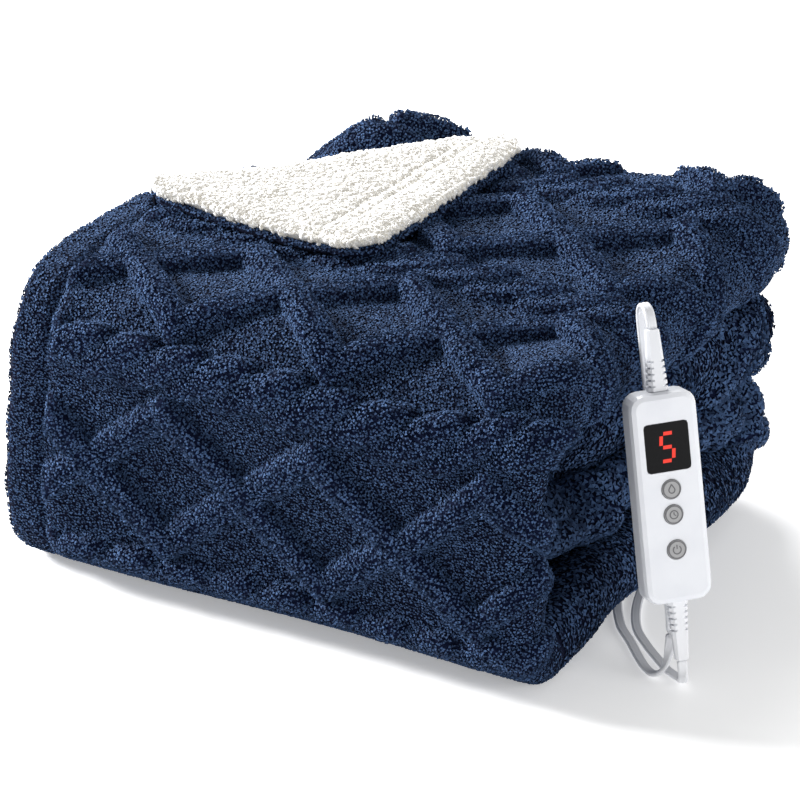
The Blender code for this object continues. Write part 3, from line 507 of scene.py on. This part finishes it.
def sectionPlace(cut, name, share, lift):
    # place across the pack and outward direction there, lift being measured from the ply's middle
    outer, inner = 1.5 * cut["pitch"], 0.5 * cut["pitch"]
    rightCentre, leftCentre = cut["rightCentre"], cut["leftCentre"]
    if name == "face":
        return cut["left"] + (rightCentre - cut["left"]) * share, outer + lift
    if name == "under":
        return rightCentre + (leftCentre - rightCentre) * share, -outer - lift
    if name == "third":
        return leftCentre + (rightCentre - leftCentre) * share, inner + lift
    if name == "last":
        return rightCentre + (cut["hem"] - rightCentre) * share, -inner - lift
    angle = math.radians((270 if name == "leftBend" else 90) - 180 * share)
    centre = (leftCentre, -inner) if name == "leftBend" else (rightCentre, 0.0)
    radius = {"bend": outer, "leftBend": cut["pitch"], "innerBend": inner}[name] + lift
    return centre[0] + radius * math.cos(angle), centre[1] + radius * math.sin(angle)


def plateau(value, first, full, last, end):
    return ramp(value, first, full) * (1.0 - ramp(value, last, end))


def wave(name, x, y, z):
    return sum(size * math.sin(alongX * x + alongY * y + alongZ * z + phase)
               for direction, size, alongX, alongY, alongZ, phase in waves if direction == name)


def settle(x, y, z):
    # natural unevenness: puffed ends, a soft front and a slightly wavy top, flat on the floor
    end = ramp(x, throw["halfWidth"] - endZone, throw["halfWidth"] - endFull)
    lifted = z
    for low, high, endLow, endHigh in zip(levels, levels[1:], endLevels, endLevels[1:]):
        if low <= z <= high:
            lifted = endLow + (z - low) * (endHigh - endLow) / (high - low)
    z += (lifted - z) * end
    z += ramp(z, 0.0, waveRise) * wave("z", x, y, z)
    for mound in mounds:
        turn = math.radians(mound["turn"])
        dx, dy = x - mound["x"], y - mound["y"]
        along, across = dx * math.cos(turn) + dy * math.sin(turn), dy * math.cos(turn) - dx * math.sin(turn)
        spread = (along / mound["long"]) ** 2 + (across / mound["wide"]) ** 2
        z += mound["height"] * math.exp(-spread) * ramp(z, mound["low"], mound["high"])
    hollow = ramp(x, *recess["x"]) * plateau(y, *recess["y"]) * plateau(z, *recess["z"])
    x -= recess["depth"] * hollow
    x += wave("x", x, y, z) * ramp(abs(x), *waveEdge["x"])
    y += wave("y", x, y, z) * ramp(abs(y), *waveEdge["y"])
    way = ramp(x, passage["x"], passage["x"] + passage["reachX"])
    way *= ramp(y, passage["y"], passage["y"] + passage["reachY"])
    z += passage["height"] * way * max(0.0, 1.0 - z / passage["fades"])
    return Vector((x, y, z))


def crumple(spot):
    # small uneven dents, the same for both faces of a ply
    free = ramp(spot.z, *throw["crumpleFrom"])
    shift = noise.noise_vector(spot * throw["crumpleScale"]) * throw["crumple"]
    return spot + shift * free


def ridge(distance):
    return 1.0 - smooth((distance - pattern["flat"]) / pattern["slope"])


def patternHeight(along, travel, shape=ridge):
    # crossing zigzags that leave diamonds, and between their rows a braid of slanted lobes
    place = (travel - pattern["start"]) / pattern["pitch"]
    row = round(place)
    across = (place - row) * pattern["pitch"]
    phase = ((along - pattern["shift"]) / (2 * pattern["width"])) % 1.0
    zigzag = (1.0 - 4.0 * abs(phase - 0.5)) * pattern["height"] / 2 * (1.0 if phase < 0.5 else -1.0)
    wide = pattern["halfWidth"] * math.hypot(1.0, pattern["height"] / pattern["width"])
    height = max(shape(abs(across - zigzag) / wide), pattern["underBand"] * shape(abs(across + zigzag) / wide))
    offset = (place - math.floor(place) - 0.5) * pattern["pitch"]
    lobe = math.floor(along / pattern["lobePitch"])
    for number in (lobe - 1, lobe, lobe + 1, lobe + 2):
        dx = (along / pattern["lobePitch"] - number) * pattern["lobePitch"]
        dq = offset + pattern["lobeSlant"] * dx
        reach = math.hypot(dx / (pattern["lobeLength"] / 2), dq / (pattern["lobeWidth"] / 2))
        head = smooth(0.5 + dx / pattern["lobeLength"])
        height = max(height, shape(reach) * (pattern["lobeTail"] + (1.0 - pattern["lobeTail"]) * head))
    return height


def fanOut(along, travel):
    # direction in which the fibres of a raised band lean away from its middle, as (along, travel)
    step = pattern["fanStep"]
    slope = [patternHeight(along + dx, travel + dy, cone) - patternHeight(along - dx, travel - dy, cone)
             for dx, dy in ((step, 0.0), (0.0, step))]
    size = math.hypot(*slope)
    return (-slope[0] / size, -slope[1] / size) if size > pattern["fanLeast"] else (0.0, 0.0)


def cone(distance):
    return max(0.0, pattern["fanReach"] - distance)


def exposure(row, name, share):
    # how much of the plush face shows there, from 0 inside the bundle to 1
    nearFold = 1.0 - smooth(share / showing["fold"])
    nearLeft = ramp(share, showing["left"], 1.0)
    if name == "face":
        if row["part"] in ("top", "front", "back"):
            return 1.0
        return max(ramp(share, showing["hem"], 1.0), 1.0 - smooth(share / showing["right"]))
    if name in ("bend", "leftBend"):
        return 1.0
    if name == "under":
        return max(nearFold, nearLeft)
    if name == "last":
        return nearLeft
    return 0.0


def raised(row, name, share, along, z):
    height = patternHeight(along, row["travel"]) * ramp(along, throw["seam"], pattern["hem"])
    height *= ramp(z, *pattern["floor"])
    if name == "face":
        return height * (1.0 if row["part"] in ("top", "front", "back") else 0.0)
    if name == "bend":
        outward = math.sin(math.pi * share)
        if row["part"] in ("top", "front"):
            return height * smooth(pattern["packFade"] * (1.0 - share))
        return height * smooth(pattern["endFade"] * outward)
    return 0.0


def clothPoint(row, cut, name, share, depth):
    # a place on the cloth: its point, how much the pattern raises it, and its place in flat cloth
    along = cut["starts"][name] + cut["runs"][name] * share
    height, lift = 0.0, 0.0
    if depth < 0.5:
        height = raised(row, name, share, along, row["z"]) * (1.0 - 2.0 * depth)
        groove = math.exp(-((along - throw["seam"]) / throw["seamWidth"]) ** 2)
        lift = pattern["lift"] * height - throw["seamDepth"] * groove * (row["part"] in ("top", "front"))
    x, w = sectionPlace(cut, name, share, cut["half"] * (1.0 - 2.0 * depth) + lift)
    away = row["size"][0] / 2 - w - throw["gap"] / 2
    y, z = row["y"] - math.sin(row["heading"]) * away, row["z"] + math.cos(row["heading"]) * away
    rounding = throw["hemRound"] * (1.0 - (1.0 - 2.0 * depth) ** 2)
    if name == "face" and share == 0.0 or name == "last" and share == 1.0:
        x -= rounding
    if row["end"]:
        y += rounding
    return crumple(settle(x, y, z)), height, along


def napThere(row, name, share, along, height):
    # the pile leans down the cloth, and on raised bands away from their middle
    heading = row["heading"]
    turn = math.radians(90 - 180 * share) if name == "bend" else math.pi / 2
    across = Vector((math.sin(turn), -math.cos(turn) * math.sin(heading), math.cos(turn) * math.cos(heading)))
    down = Vector((0.0, math.cos(heading), math.sin(heading)))
    fan = fanOut(along, row["travel"]) if height > throw["napRaised"] else (0.0, 0.0)
    return down * throw["napDown"] + (across * fan[0] + down * fan[1]) * throw["napFan"]


def faceUp(bm):
    # turn every face over where the highest one looks down
    bm.normal_update()
    highest = max(bm.faces, key=lambda face: face.calc_center_median().z)
    if highest.normal.z < 0.0:
        bmesh.ops.reverse_faces(bm, faces=bm.faces)


def clothMesh(material):
    rows, columns = clothRows(1.0), clothColumns(1.0)
    cuts = [section(row["size"]) for row in rows]
    bm = bmesh.new()
    lastColumn, lastRow = len(columns) - 1, len(rows) - 1
    bmesh.ops.create_grid(bm, x_segments=lastColumn, y_segments=lastRow, size=0.5)
    shell = bmesh.ops.extrude_face_region(bm, geom=bm.faces[:], use_keep_orig=True)
    under = [item for item in shell["geom"] if isinstance(item, bmesh.types.BMVert)]
    bmesh.ops.translate(bm, verts=under, vec=(0, 0, 1))
    rim = [edge for edge in bm.edges if abs(edge.verts[0].co.z - edge.verts[1].co.z) > 0.5]
    bmesh.ops.subdivide_edges(bm, edges=rim, cuts=2, use_grid_fill=True)

    def gridPlace(spot):
        # one number for each place in the flat grid
        line, column = round((spot.y + 0.5) * lastRow * 2), round((spot.x + 0.5) * lastColumn * 2)
        return (round(spot.z * 6) * 4096 + line) * 4096 + column

    # the rim's vertices and faces come in another order each run, and the pile is drawn in that order
    bm.verts.sort(key=lambda vert: gridPlace(vert.co))
    bm.faces.sort(key=lambda face: gridPlace(face.calc_center_median()))
    layers = {name: bm.verts.layers.float.new(name) for name in ("crest", "inside", "ends", "back")}
    nap = bm.verts.layers.float_vector.new("nap")
    uv = bm.loops.layers.uv.new("cloth")
    flat = {}
    bm.verts.index_update()
    for vert in bm.verts:
        column, line = round((vert.co.x + 0.5) * lastColumn), round((vert.co.y + 0.5) * lastRow)
        depth = round(vert.co.z * 3) / 3
        row, (name, share) = rows[line], columns[column]
        vert.co, height, along = clothPoint(row, cuts[line], name, share, depth)
        shown = exposure(row, name, share) if depth < 0.1 else 0.0
        if 0.1 < depth < 0.9 or row["end"] and depth < 0.9:
            shown = 1.0
        vert[layers["crest"]] = height
        vert[layers["inside"]] = depth
        vert[nap] = napThere(row, name, share, along, height)
        faceOn = row["part"] in ("top", "front") and name in ("face", "bend")
        atBack = row["part"] == "back" or row["end"] or name in ("leftBend", "last") or share > 0.5
        if not faceOn or depth > 0.1 or row["end"]:
            vert[layers["back" if atBack and name != "bend" or row["end"] else "ends"]] = shown
        flat[vert.index] = (along, row["travel"])
    for face in bm.faces:
        for loop in face.loops:
            loop[uv].uv = flat[loop.vert.index]
    bmesh.ops.recalc_face_normals(bm, faces=bm.faces)
    faceUp(bm)
    return newObject("blanket_cloth", bm, material, crease=None)


def pileGround():
    # finer copy of the cloth's face on the top and the front, which only carries the pile
    rows = [row for row in clothRows(throw["groundFiner"]) if row["part"] in ("top", "front")]
    columns = [column for column in clothColumns(throw["groundFiner"]) if column[0] in ("face", "bend")]
    cuts = [section(row["size"]) for row in rows]
    facts = {}

    def place(column, line):
        name, share = columns[column]
        spot, height, along = clothPoint(rows[line], cuts[line], name, share, 0.0)
        facts[column, line] = height, napThere(rows[line], name, share, along, height)
        return spot

    lastColumn, lastRow = len(columns) - 1, len(rows) - 1
    bm = bmesh.new()
    bmesh.ops.create_grid(bm, x_segments=lastColumn, y_segments=lastRow, size=0.5)
    layers = {name: bm.verts.layers.float.new(name) for name in ("crest", "top", "front")}
    nap = bm.verts.layers.float_vector.new("nap")
    for vert in bm.verts:
        column, line = round((vert.co.x + 0.5) * lastColumn), round((vert.co.y + 0.5) * lastRow)
        vert.co = place(column, line)
        vert[layers["crest"]], vert[nap] = facts[column, line]
        vert[layers[rows[line]["part"]]] = 1.0
    faceUp(bm)
    return meshObject("pile_ground", bm)


# ---- pile and fleece: thousands of tufts, placed by geometry nodes and made real ----
def scatter(name, ground, zoneName, spec, grain, material):
    tree = bpy.data.node_groups.new(name, "GeometryNodeTree")
    tree.interface.new_socket("Geometry", in_out="OUTPUT", socket_type="NodeSocketGeometry")
    graph = Graph(tree)

    def named(attribute, kind="FLOAT"):
        return graph.add("GeometryNodeInputNamedAttribute", dict(data_type=kind), {"Name": attribute})

    def chance(low, high, seed):
        inputs = {2: low, 3: high, "Seed": seed}
        return graph.add("FunctionNodeRandomValue", dict(data_type="FLOAT"), inputs, output=1)

    source = graph.add("GeometryNodeObjectInfo", None, {"Object": ground}, output="Geometry")
    spread = {"Mesh": source, "Distance Min": spec["apart"], "Density Max": spec["density"],
              "Density Factor": named(zoneName), "Seed": spec["seed"]}
    points = graph.add("GeometryNodeDistributePointsOnFaces", dict(distribute_method="POISSON"), spread)
    normal = points.twin("Normal")
    mess = graph.add("FunctionNodeRandomValue", dict(data_type="FLOAT_VECTOR"),
                     {0: (-1.0, -1.0, -1.0), 1: (1.0, 1.0, 1.0), "Seed": spec["seed"] + 1})
    lean = graph.vectors("SCALE", named("nap", "FLOAT_VECTOR"), spec["lean"])
    messy = graph.vectors("SCALE", mess, spec["mess"])
    heading = graph.vectors("ADD", graph.vectors("ADD", normal, lean), messy)
    turned = graph.add("FunctionNodeAlignRotationToVector", dict(axis="Z"), {"Vector": heading})
    anyTurn = chance(0.0, math.pi, spec["seed"] + 5)
    twist = graph.add("FunctionNodeAxisAngleToRotation", None, {"Angle": anyTurn})
    turned = graph.add("FunctionNodeRotateRotation", dict(rotation_space="LOCAL"),
                       {"Rotation": turned, "Rotate By": twist})
    crest = named("crest")
    length = (spec["length"] + spec["crestLength"] * crest) * chance(spec["least"], 1.0, spec["seed"] + 2)
    width = spec["width"] * chance(*spec["widths"], spec["seed"] + 3)
    size = graph.add("ShaderNodeCombineXYZ", None, {0: width, 1: width, 2: length})
    toned = graph.add("GeometryNodeStoreNamedAttribute", dict(data_type="FLOAT", domain="POINT"),
                      {"Geometry": points, "Name": "tone", "Value": chance(0.0, 1.0, spec["seed"] + 4)})
    tuft = graph.add("GeometryNodeObjectInfo", None, {"Object": grain}, output="Geometry")
    # rise, the height up each tuft, is what the pile's material reads for its painted shade at the roots
    height = graph.add("ShaderNodeSeparateXYZ", None, {0: graph.add("GeometryNodeInputPosition")}, output=2)
    tuft = graph.add("GeometryNodeStoreNamedAttribute", dict(data_type="FLOAT", domain="POINT"),
                     {"Geometry": tuft, "Name": "rise", "Value": height})
    placed = graph.add("GeometryNodeInstanceOnPoints", None,
                       {"Points": toned, "Instance": tuft, "Rotation": turned, "Scale": size})
    real = graph.add("GeometryNodeRealizeInstances", None, {"Geometry": placed})
    dressed = graph.add("GeometryNodeSetMaterial", None, {"Geometry": real, "Material": material})
    graph.add("NodeGroupOutput", None, {"Geometry": dressed})

    holder = bpy.data.objects.new(name + "_source", bpy.data.meshes.new(name + "_source"))
    bpy.context.scene.collection.objects.link(holder)
    holder.modifiers.new("scatter", "NODES").node_group = tree
    bpy.context.view_layer.update()
    made = bpy.data.meshes.new_from_object(holder.evaluated_get(bpy.context.evaluated_depsgraph_get()))
    bpy.data.objects.remove(holder)
    made.name = name
    thing = bpy.data.objects.new(name, made)
    bpy.context.scene.collection.objects.link(thing)
    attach(thing, "bundle")
    print(name, len(made.polygons), "faces")
    return thing


pile = {"apart": 0.00120, "density": 900000.0, "seed": 3, "lean": 0.50, "mess": 0.34, "length": 0.0015,
        "crestLength": 0.0012, "least": 0.55, "width": 0.0021, "widths": (0.75, 1.15)}
endPile = dict(pile, apart=0.0016, density=560000.0, width=0.0036)
backPile = dict(pile, apart=0.0021, density=330000.0, width=0.0046)


def tuftGrain():
    # one tuft of pile: three-sided and widest at its top, one unit high and one wide
    bm = bmesh.new()
    bmesh.ops.create_cone(bm, cap_ends=True, segments=3, radius1=0.0, radius2=0.5, depth=1.0,
                          matrix=Matrix.Translation((0, 0, 0.5)))
    bmesh.ops.remove_doubles(bm, verts=bm.verts, dist=0.01)
    bmesh.ops.recalc_face_normals(bm, faces=bm.faces)
    return meshObject("tuft", bm, rounded=False)


def clothFinish():
    def paint(graph):
        inside = graph.attribute("inside")
        crest = graph.attribute("crest")
        fine = graph.spots(900.0, 2.0)
        dark = graph.mix(fine, tint(5, 8, 20), tint(12, 20, 46))
        # painted light: the cloth is lighter on the pattern's raised bands, so their tops look lit
        navy = graph.mix(crest * 0.5, dark, tint(14, 26, 58))
        colour = graph.mix(graph.between(inside, 0.55, 0.75), navy, tint(232, 226, 212))
        bump = graph.add("ShaderNodeBump", None, {"Strength": 0.8, "Distance": 0.0010, "Height": fine})
        return {"Base Color": colour, "Normal": bump}
    return finish("navy cloth", paint, Roughness=0.95, Specular_IOR_Level=0.1)


def pileFinish():
    def paint(graph):
        tone = graph.attribute("tone")
        rise = graph.attribute("rise")
        crest = graph.attribute("crest")
        patch = graph.spots(26.0, 3.0)
        # painted shade: each tuft darkens from its tip to its root, standing for the shade deep in the pile;
        # the random tone and patches are the pile's own colour
        root = graph.mix(tone, tint(5, 8, 18), tint(10, 17, 36))
        tip = graph.mix(tone, tint(28, 42, 68), tint(72, 98, 138))
        tip = graph.mix(graph.between(patch, 0.3, 0.8) * 0.30, tip, tint(36, 56, 88))
        # painted light: tufts on raised bands take more of the light tip colour, so the bands' tops look lit
        share = graph.between(rise + 0.30 * crest, 0.25, 0.98)
        return {"Base Color": graph.mix(share, root, tip)}
    return finish("navy pile", paint, Roughness=0.80, Specular_IOR_Level=0.15)


# ---- corner turned back to the fleece ----
corner = {
    "start": (-0.172, -0.020), "end": (0.004, 0.154), "tip": (-0.006, -0.032), "blunt": 0.026,
    "navy": 0.0048, "fleece": 0.0062, "lift": 0.0068, "root": 0.007, "ends": (0.030, 0.970),
    "tipRound": 0.004, "bulge": 0.92, "soft": 0.010, "thin": 0.35, "under": 0.0012,
    "columns": 72, "rows": 26, "clear": 0.0003, "rimOut": 0.0045,
    "channels": (0.022, 0.031), "channelWidth": 0.0020, "channelDepth": 0.0030, "channelBare": 0.96,
    "rimTurn": (0.55, 0.0012), "rimFoot": 0.0015, "fleeceTurn": (0.62, 0.0016), "fleeceSide": 0.42,
    "skirt": 0.0004,
}
fleece = {"apart": 0.00145, "density": 600000.0, "seed": 41, "lean": 0.0, "mess": 0.45, "length": 1.0,
          "crestLength": 0.0, "least": 0.72, "width": 1.0, "widths": (0.75, 1.15)}


def cornerAxes():
    start, end = Vector(corner["start"]), Vector(corner["end"])
    line = (end - start).normalized()
    return start, end, line, Vector((line.y, -line.x))


def flapReach(share):
    # how far the turned corner reaches from its crest
    start, end, line, outward = cornerAxes()
    length = (end - start).length
    tip = Vector(corner["tip"]) - start
    foot, depth = tip.dot(line), tip.dot(outward)
    along, blunt = share * length, corner["blunt"] / 2
    if abs(along - foot) < blunt:
        return depth - corner["tipRound"] * ((along - foot) / blunt) ** 2
    edge = depth - corner["tipRound"]
    if along < foot:
        return edge * (along / (foot - blunt)) ** corner["bulge"]
    return edge * ((length - along) / (length - foot - blunt)) ** corner["bulge"]


def flapPoint(share, out, height):
    start, end, line, outward = cornerAxes()
    spot = start + (end - start) * share + outward * out
    ground = crumple(settle(spot.x, spot.y, throw["height"]))
    return Vector((spot.x, spot.y, ground.z + height))


def channelDepth(spot):
    # sewn lines parallel to the edge that runs from the tip to the crest's far end
    tip, end = Vector(corner["tip"]), Vector(corner["end"])
    line = (end - tip).normalized()
    off = abs((spot - tip).dot(Vector((line.y, -line.x))))
    return max(math.exp(-((off - place) / corner["channelWidth"]) ** 2) for place in corner["channels"])


def flapMesh(name, material, bottom, top, wrap, extra, grooved):
    # closed slab over the turned corner, lapping round its crest by the wrap's (out, height) points
    rows = corner["rows"]
    around = 2 * (rows + 1) + len(wrap)
    start, end, line, outward = cornerAxes()

    def place(column, step):
        share = corner["ends"][0] + (corner["ends"][1] - corner["ends"][0]) * step / corner["columns"]
        reach = flapReach(share) + extra
        index = column % around
        if index <= rows:
            out = reach * (1.0 - index / rows)
            thin = corner["thin"] * (top - bottom) * (1.0 - smooth((reach - out) / corner["soft"]))
            spot = flapPoint(share, out, top - thin)
            if grooved:
                spot.z -= corner["channelDepth"] * channelDepth(Vector((spot.x, spot.y)))
            return spot
        if index <= rows + len(wrap):
            return flapPoint(share, *wrap[index - rows - 1])
        step = index - rows - len(wrap) - 1
        return flapPoint(share, (reach - corner["under"]) * step / rows, bottom)

    bm = mappedGrid(around, corner["columns"], place)
    shown = bm.verts.layers.float.new("showing")
    nap = bm.verts.layers.float_vector.new("nap")
    for vert in bm.verts:
        spot = Vector((vert.co.x, vert.co.y))
        out = (spot - start).dot(outward)
        vert[nap] = (outward.x, outward.y, 0.0)
        ground = flapPoint((spot - start).dot(line) / (end - start).length, out, 0.0).z
        high = vert.co.z - ground > bottom + corner["skirt"] or out < 0.0
        vert[shown] = float(high) * (1.0 - corner["channelBare"] * channelDepth(spot) * grooved)
    bmesh.ops.remove_doubles(bm, verts=bm.verts, dist=weld)
    bmesh.ops.holes_fill(bm, edges=[edge for edge in bm.edges if edge.is_boundary], sides=0)
    bmesh.ops.recalc_face_normals(bm, faces=bm.faces)
    return newObject(name, bm, material, crease=None)


curl = {"radius": 0.0017, "thick": 0.0010, "around": 4, "steps": 4, "sweep": 240.0, "tilt": 22.0,
        "rise": 0.0006, "pitch": 0.0003}


def curlGrain():
    # one curl of fleece: a short bent strand
    bm = bmesh.new()
    upright = Matrix.Translation((curl["radius"], 0, 0)) @ Matrix.Rotation(math.pi / 2, 4, "X")
    bmesh.ops.create_circle(bm, cap_ends=True, segments=curl["around"], radius=curl["thick"], matrix=upright)
    bmesh.ops.spin(bm, geom=bm.verts[:] + bm.edges[:] + bm.faces[:], cent=(0, 0, 0), axis=(0, 0, 1),
                   dvec=(0, 0, curl["pitch"]), angle=math.radians(curl["sweep"]), steps=curl["steps"])
    tilt = Matrix.Rotation(math.radians(curl["tilt"]), 3, "X")
    bmesh.ops.rotate(bm, verts=bm.verts, cent=(0, 0, 0), matrix=tilt)
    bmesh.ops.translate(bm, verts=bm.verts, vec=(0, 0, curl["rise"]))
    bmesh.ops.recalc_face_normals(bm, faces=bm.faces)
    return meshObject("curl", bm)


def fleeceWithPaintedGlow(name):
    def paint(graph):
        tone = graph.attribute("tone")
        patch = graph.spots(120.0, 2.0)
        light = graph.mix(tone, tint(252, 250, 245), tint(255, 255, 253))
        return {"Base Color": graph.mix(graph.between(patch, 0.35, 0.8) * 0.3, light, tint(246, 242, 233))}
    # painted light: a faint glow lifts the fleece's shaded curls towards white; the random tone and cream
    # patches are its own colour
    return finish(name, paint, Roughness=0.95, Subsurface_Weight=1.0, Subsurface_Radius=(1.0, 0.96, 0.90),
                  Subsurface_Scale=0.020, Emission_Color=tint(255, 250, 240), Emission_Strength=0.10)


def makeCorner(navy, navyPile, tuft):
    top = corner["lift"] + corner["navy"]
    root, foot = corner["root"], corner["rimFoot"]
    share, drop = corner["rimTurn"]
    bend = ((-root * share, top - drop), (-root, (corner["lift"] + top) / 2), (-root, foot), (foot, foot))
    rim = flapMesh("corner_rim", navy, corner["lift"], top, bend, corner["rimOut"], False)
    scatter("corner_rim_pile", rim, "showing", dict(pile, seed=77), tuft, navyPile)
    bottom = top + corner["clear"]
    upper = bottom + corner["fleece"]
    outside, inside = root + corner["fleece"], root + 2 * corner["clear"]
    skirt = corner["lift"] + corner["skirt"]
    share, drop = corner["fleeceTurn"]
    wrap = ((-outside * share, upper - drop), (-outside, bottom + corner["fleece"] * corner["fleeceSide"]),
            (-outside, skirt), (-inside, skirt), (-inside, bottom))
    white = fleeceWithPaintedGlow("fleece ground")
    base = flapMesh("corner_fleece", white, bottom, upper, wrap, 0.0, True)
    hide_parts("lining")
    grain = curlGrain()
    scatter("corner_curls", base, "showing", fleece, grain, fleeceWithPaintedGlow("fleece curls"))
    bpy.data.objects.remove(grain)


# ---- handset: finishes, lit digit, rims and symbols of the keys ----
keys = {"heat_key": 0.0055, "timer_key": -0.0095, "power_key": -0.0305}
marks = {"face": 0.0105, "rimRadius": 0.0051, "rimWidth": 0.0007, "line": 0.00062, "proud": 0.00022,
         "rimSteps": 40}
digit = {
    "place": (0.0, 0.0306, 0.00952), "half": (0.0039, 0.0081), "bar": 0.0021, "gap": 0.00025, "thick": 0.00016,
    "slant": 0.10,
}
# bars of a figure five: middle in half sizes, and whether it stands upright
bars = ((0, 1, False), (-1, 0.5, True), (0, 0, False), (1, -0.5, True), (0, -1, False))


def arc(radius, start, end, centre=(0.0, 0.0), steps=24):
    angles = [math.radians(start + (end - start) * step / steps) for step in range(steps + 1)]
    return [(centre[0] + radius * math.cos(a), centre[1] + radius * math.sin(a)) for a in angles]


def dropLine(size):
    # outline of a drop, point up
    return [(0.0, 1.7 * size)] + arc(size, 30.0, -210.0, (0.0, -0.2 * size)) + [(0.0, 1.7 * size)]


symbols = {
    "heat_key": [dropLine(0.0018)],
    "timer_key": [arc(0.0024, 90.0, 450.0), [(0.0, 0.0014), (0.0, 0.0), (0.0011, -0.0007)]],
    "power_key": [arc(0.0024, 125.0, 415.0), [(0.0, 0.0030), (0.0, 0.0006)]],
}


def raisedLine(name, line, along, width, material, body):
    height = marks["proud"]
    outline = [(-width / 2, -height), (width / 2, -height), (width / 2, height), (-width / 2, height)]
    rows = [(x, y + along, marks["face"], out) for x, y in line]
    return newObject(name, sweep(fromHandset(rows), outline), material, body)


def digitMesh():
    bm = bmesh.new()
    halfWide, halfHigh = digit["half"]
    bar = digit["bar"]
    for acrossMiddle, alongMiddle, upright in bars:
        half = (halfHigh / 2 if upright else halfWide) - digit["gap"]
        made = bmesh.ops.create_cone(bm, cap_ends=True, segments=6, radius1=1.0, radius2=1.0,
                                     depth=digit["thick"])
        for vert in made["verts"]:
            point = round(math.degrees(math.atan2(vert.co.y, vert.co.x)) / 60) % 6
            side = (0, 1, 1, 0, -1, -1)[point] * bar / 2
            end = (1, 1, -1, -1, -1, 1)[point] * (half - abs(side))
            x, y = (side, end) if upright else (end, side)
            y += alongMiddle * halfHigh
            vert.co = (x + acrossMiddle * halfWide + y * digit["slant"], y, vert.co.z)
    bmesh.ops.recalc_face_normals(bm, faces=bm.faces)
    bmesh.ops.transform(bm, verts=bm.verts, matrix=handsetPlace @ Matrix.Translation(digit["place"]))
    return bm


def plastic(name, light, dark, rough):
    def paint(graph):
        mottle = graph.spots(45.0, 3.0)
        fine = graph.spots(2200.0, 1.0)
        bump = graph.add("ShaderNodeBump", None, {"Strength": 0.05, "Distance": 0.0001, "Height": fine})
        return {"Base Color": graph.mix(graph.between(mottle, 0.35, 0.75), light, dark),
                "Roughness": rough + 0.08 * mottle, "Normal": bump}
    return finish(name, paint, Specular_IOR_Level=0.45)


def makeHandset():
    casing = plastic("white casing", tint(230, 232, 237), tint(224, 226, 232), 0.30)
    rubber = plastic("grey rubber", tint(166, 166, 167), tint(156, 156, 158), 0.55)
    line = plastic("symbol grey", tint(104, 104, 107), tint(96, 96, 99), 0.55)
    glass = finish("black window", None, Base_Color=tint(14, 14, 16), Roughness=0.16, Specular_IOR_Level=0.35)
    steel = finish("plated blade", None, Base_Color=tint(214, 210, 200), Metallic=1.0, Roughness=0.28)
    looks = {
        "handset_body": casing, "display_window": glass, "button_heat": rubber, "button_timer": rubber,
        "button_power": rubber, "relief_top": leadWhite, "relief_bottom": leadWhite, "coil_tie": leadWhite,
        "plug_body": leadWhite, "plug_blade_1": steel, "plug_blade_2": steel,
    }
    for node, look in looks.items():
        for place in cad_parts[node].material_slots:
            place.material = look
    red = finish("lit red", None, Base_Color=tint(40, 4, 2), Emission_Color=tint(255, 44, 14),
                 Emission_Strength=1.0)
    newObject("digit", digitMesh(), red)
    for body, along in keys.items():
        stem = body.split("_")[0]
        rim = arc(marks["rimRadius"], 0.0, 360.0, steps=marks["rimSteps"])
        raisedLine(stem + "_rim", rim, along, marks["rimWidth"], line, body)
        for number, path in enumerate(symbols[body]):
            raisedLine(stem + "_symbol_" + str(number + 1), path, along, marks["line"], line, body)


# ---- leads ----
def makeLeads():
    shape = sweep(blanketRoute, leadOutline())
    blanketLead = newObject("lead_to_blanket", shape, leadWhite, crease=None)
    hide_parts("blanket_lead")
    shape = sweep(mainsRoute, leadOutline())
    mainsLead = newObject("lead_to_mains", shape, leadWhite, crease=None)
    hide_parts("mains_lead", "mains_coil", "plug_lead")


coiled = coilRoute()
plugEnd = [(*row, 0.0, 0.0, 1.0) for row in plugRoute]
mainsRows = fromHandset(mainsRouteHandset) + onFloor(mainsRouteFloor, down) + coiled + plugEnd
mainsRoute = smoothRoute(mainsRows, lead["step"])
makeLeads()
makeHandset()
print("leads and handset made")

navyCloth, navyPile, tuft = clothFinish(), pileFinish(), tuftGrain()
cloth = clothMesh(navyCloth)
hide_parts("blanket")
print("throw folded:", len(cloth.data.polygons), "faces")
ground = pileGround()
zones = (("top", ground, pile), ("front", ground, pile), ("ends", cloth, endPile), ("back", cloth, backPile))
for number, (zoneName, carrier, spec) in enumerate(zones):
    spec = dict(spec, seed=10 + 7 * number)
    scatter("pile_" + zoneName, carrier, zoneName, spec, tuft, navyPile)
bpy.data.objects.remove(ground)
makeCorner(navyCloth, navyPile, tuft)
bpy.data.objects.remove(tuft)
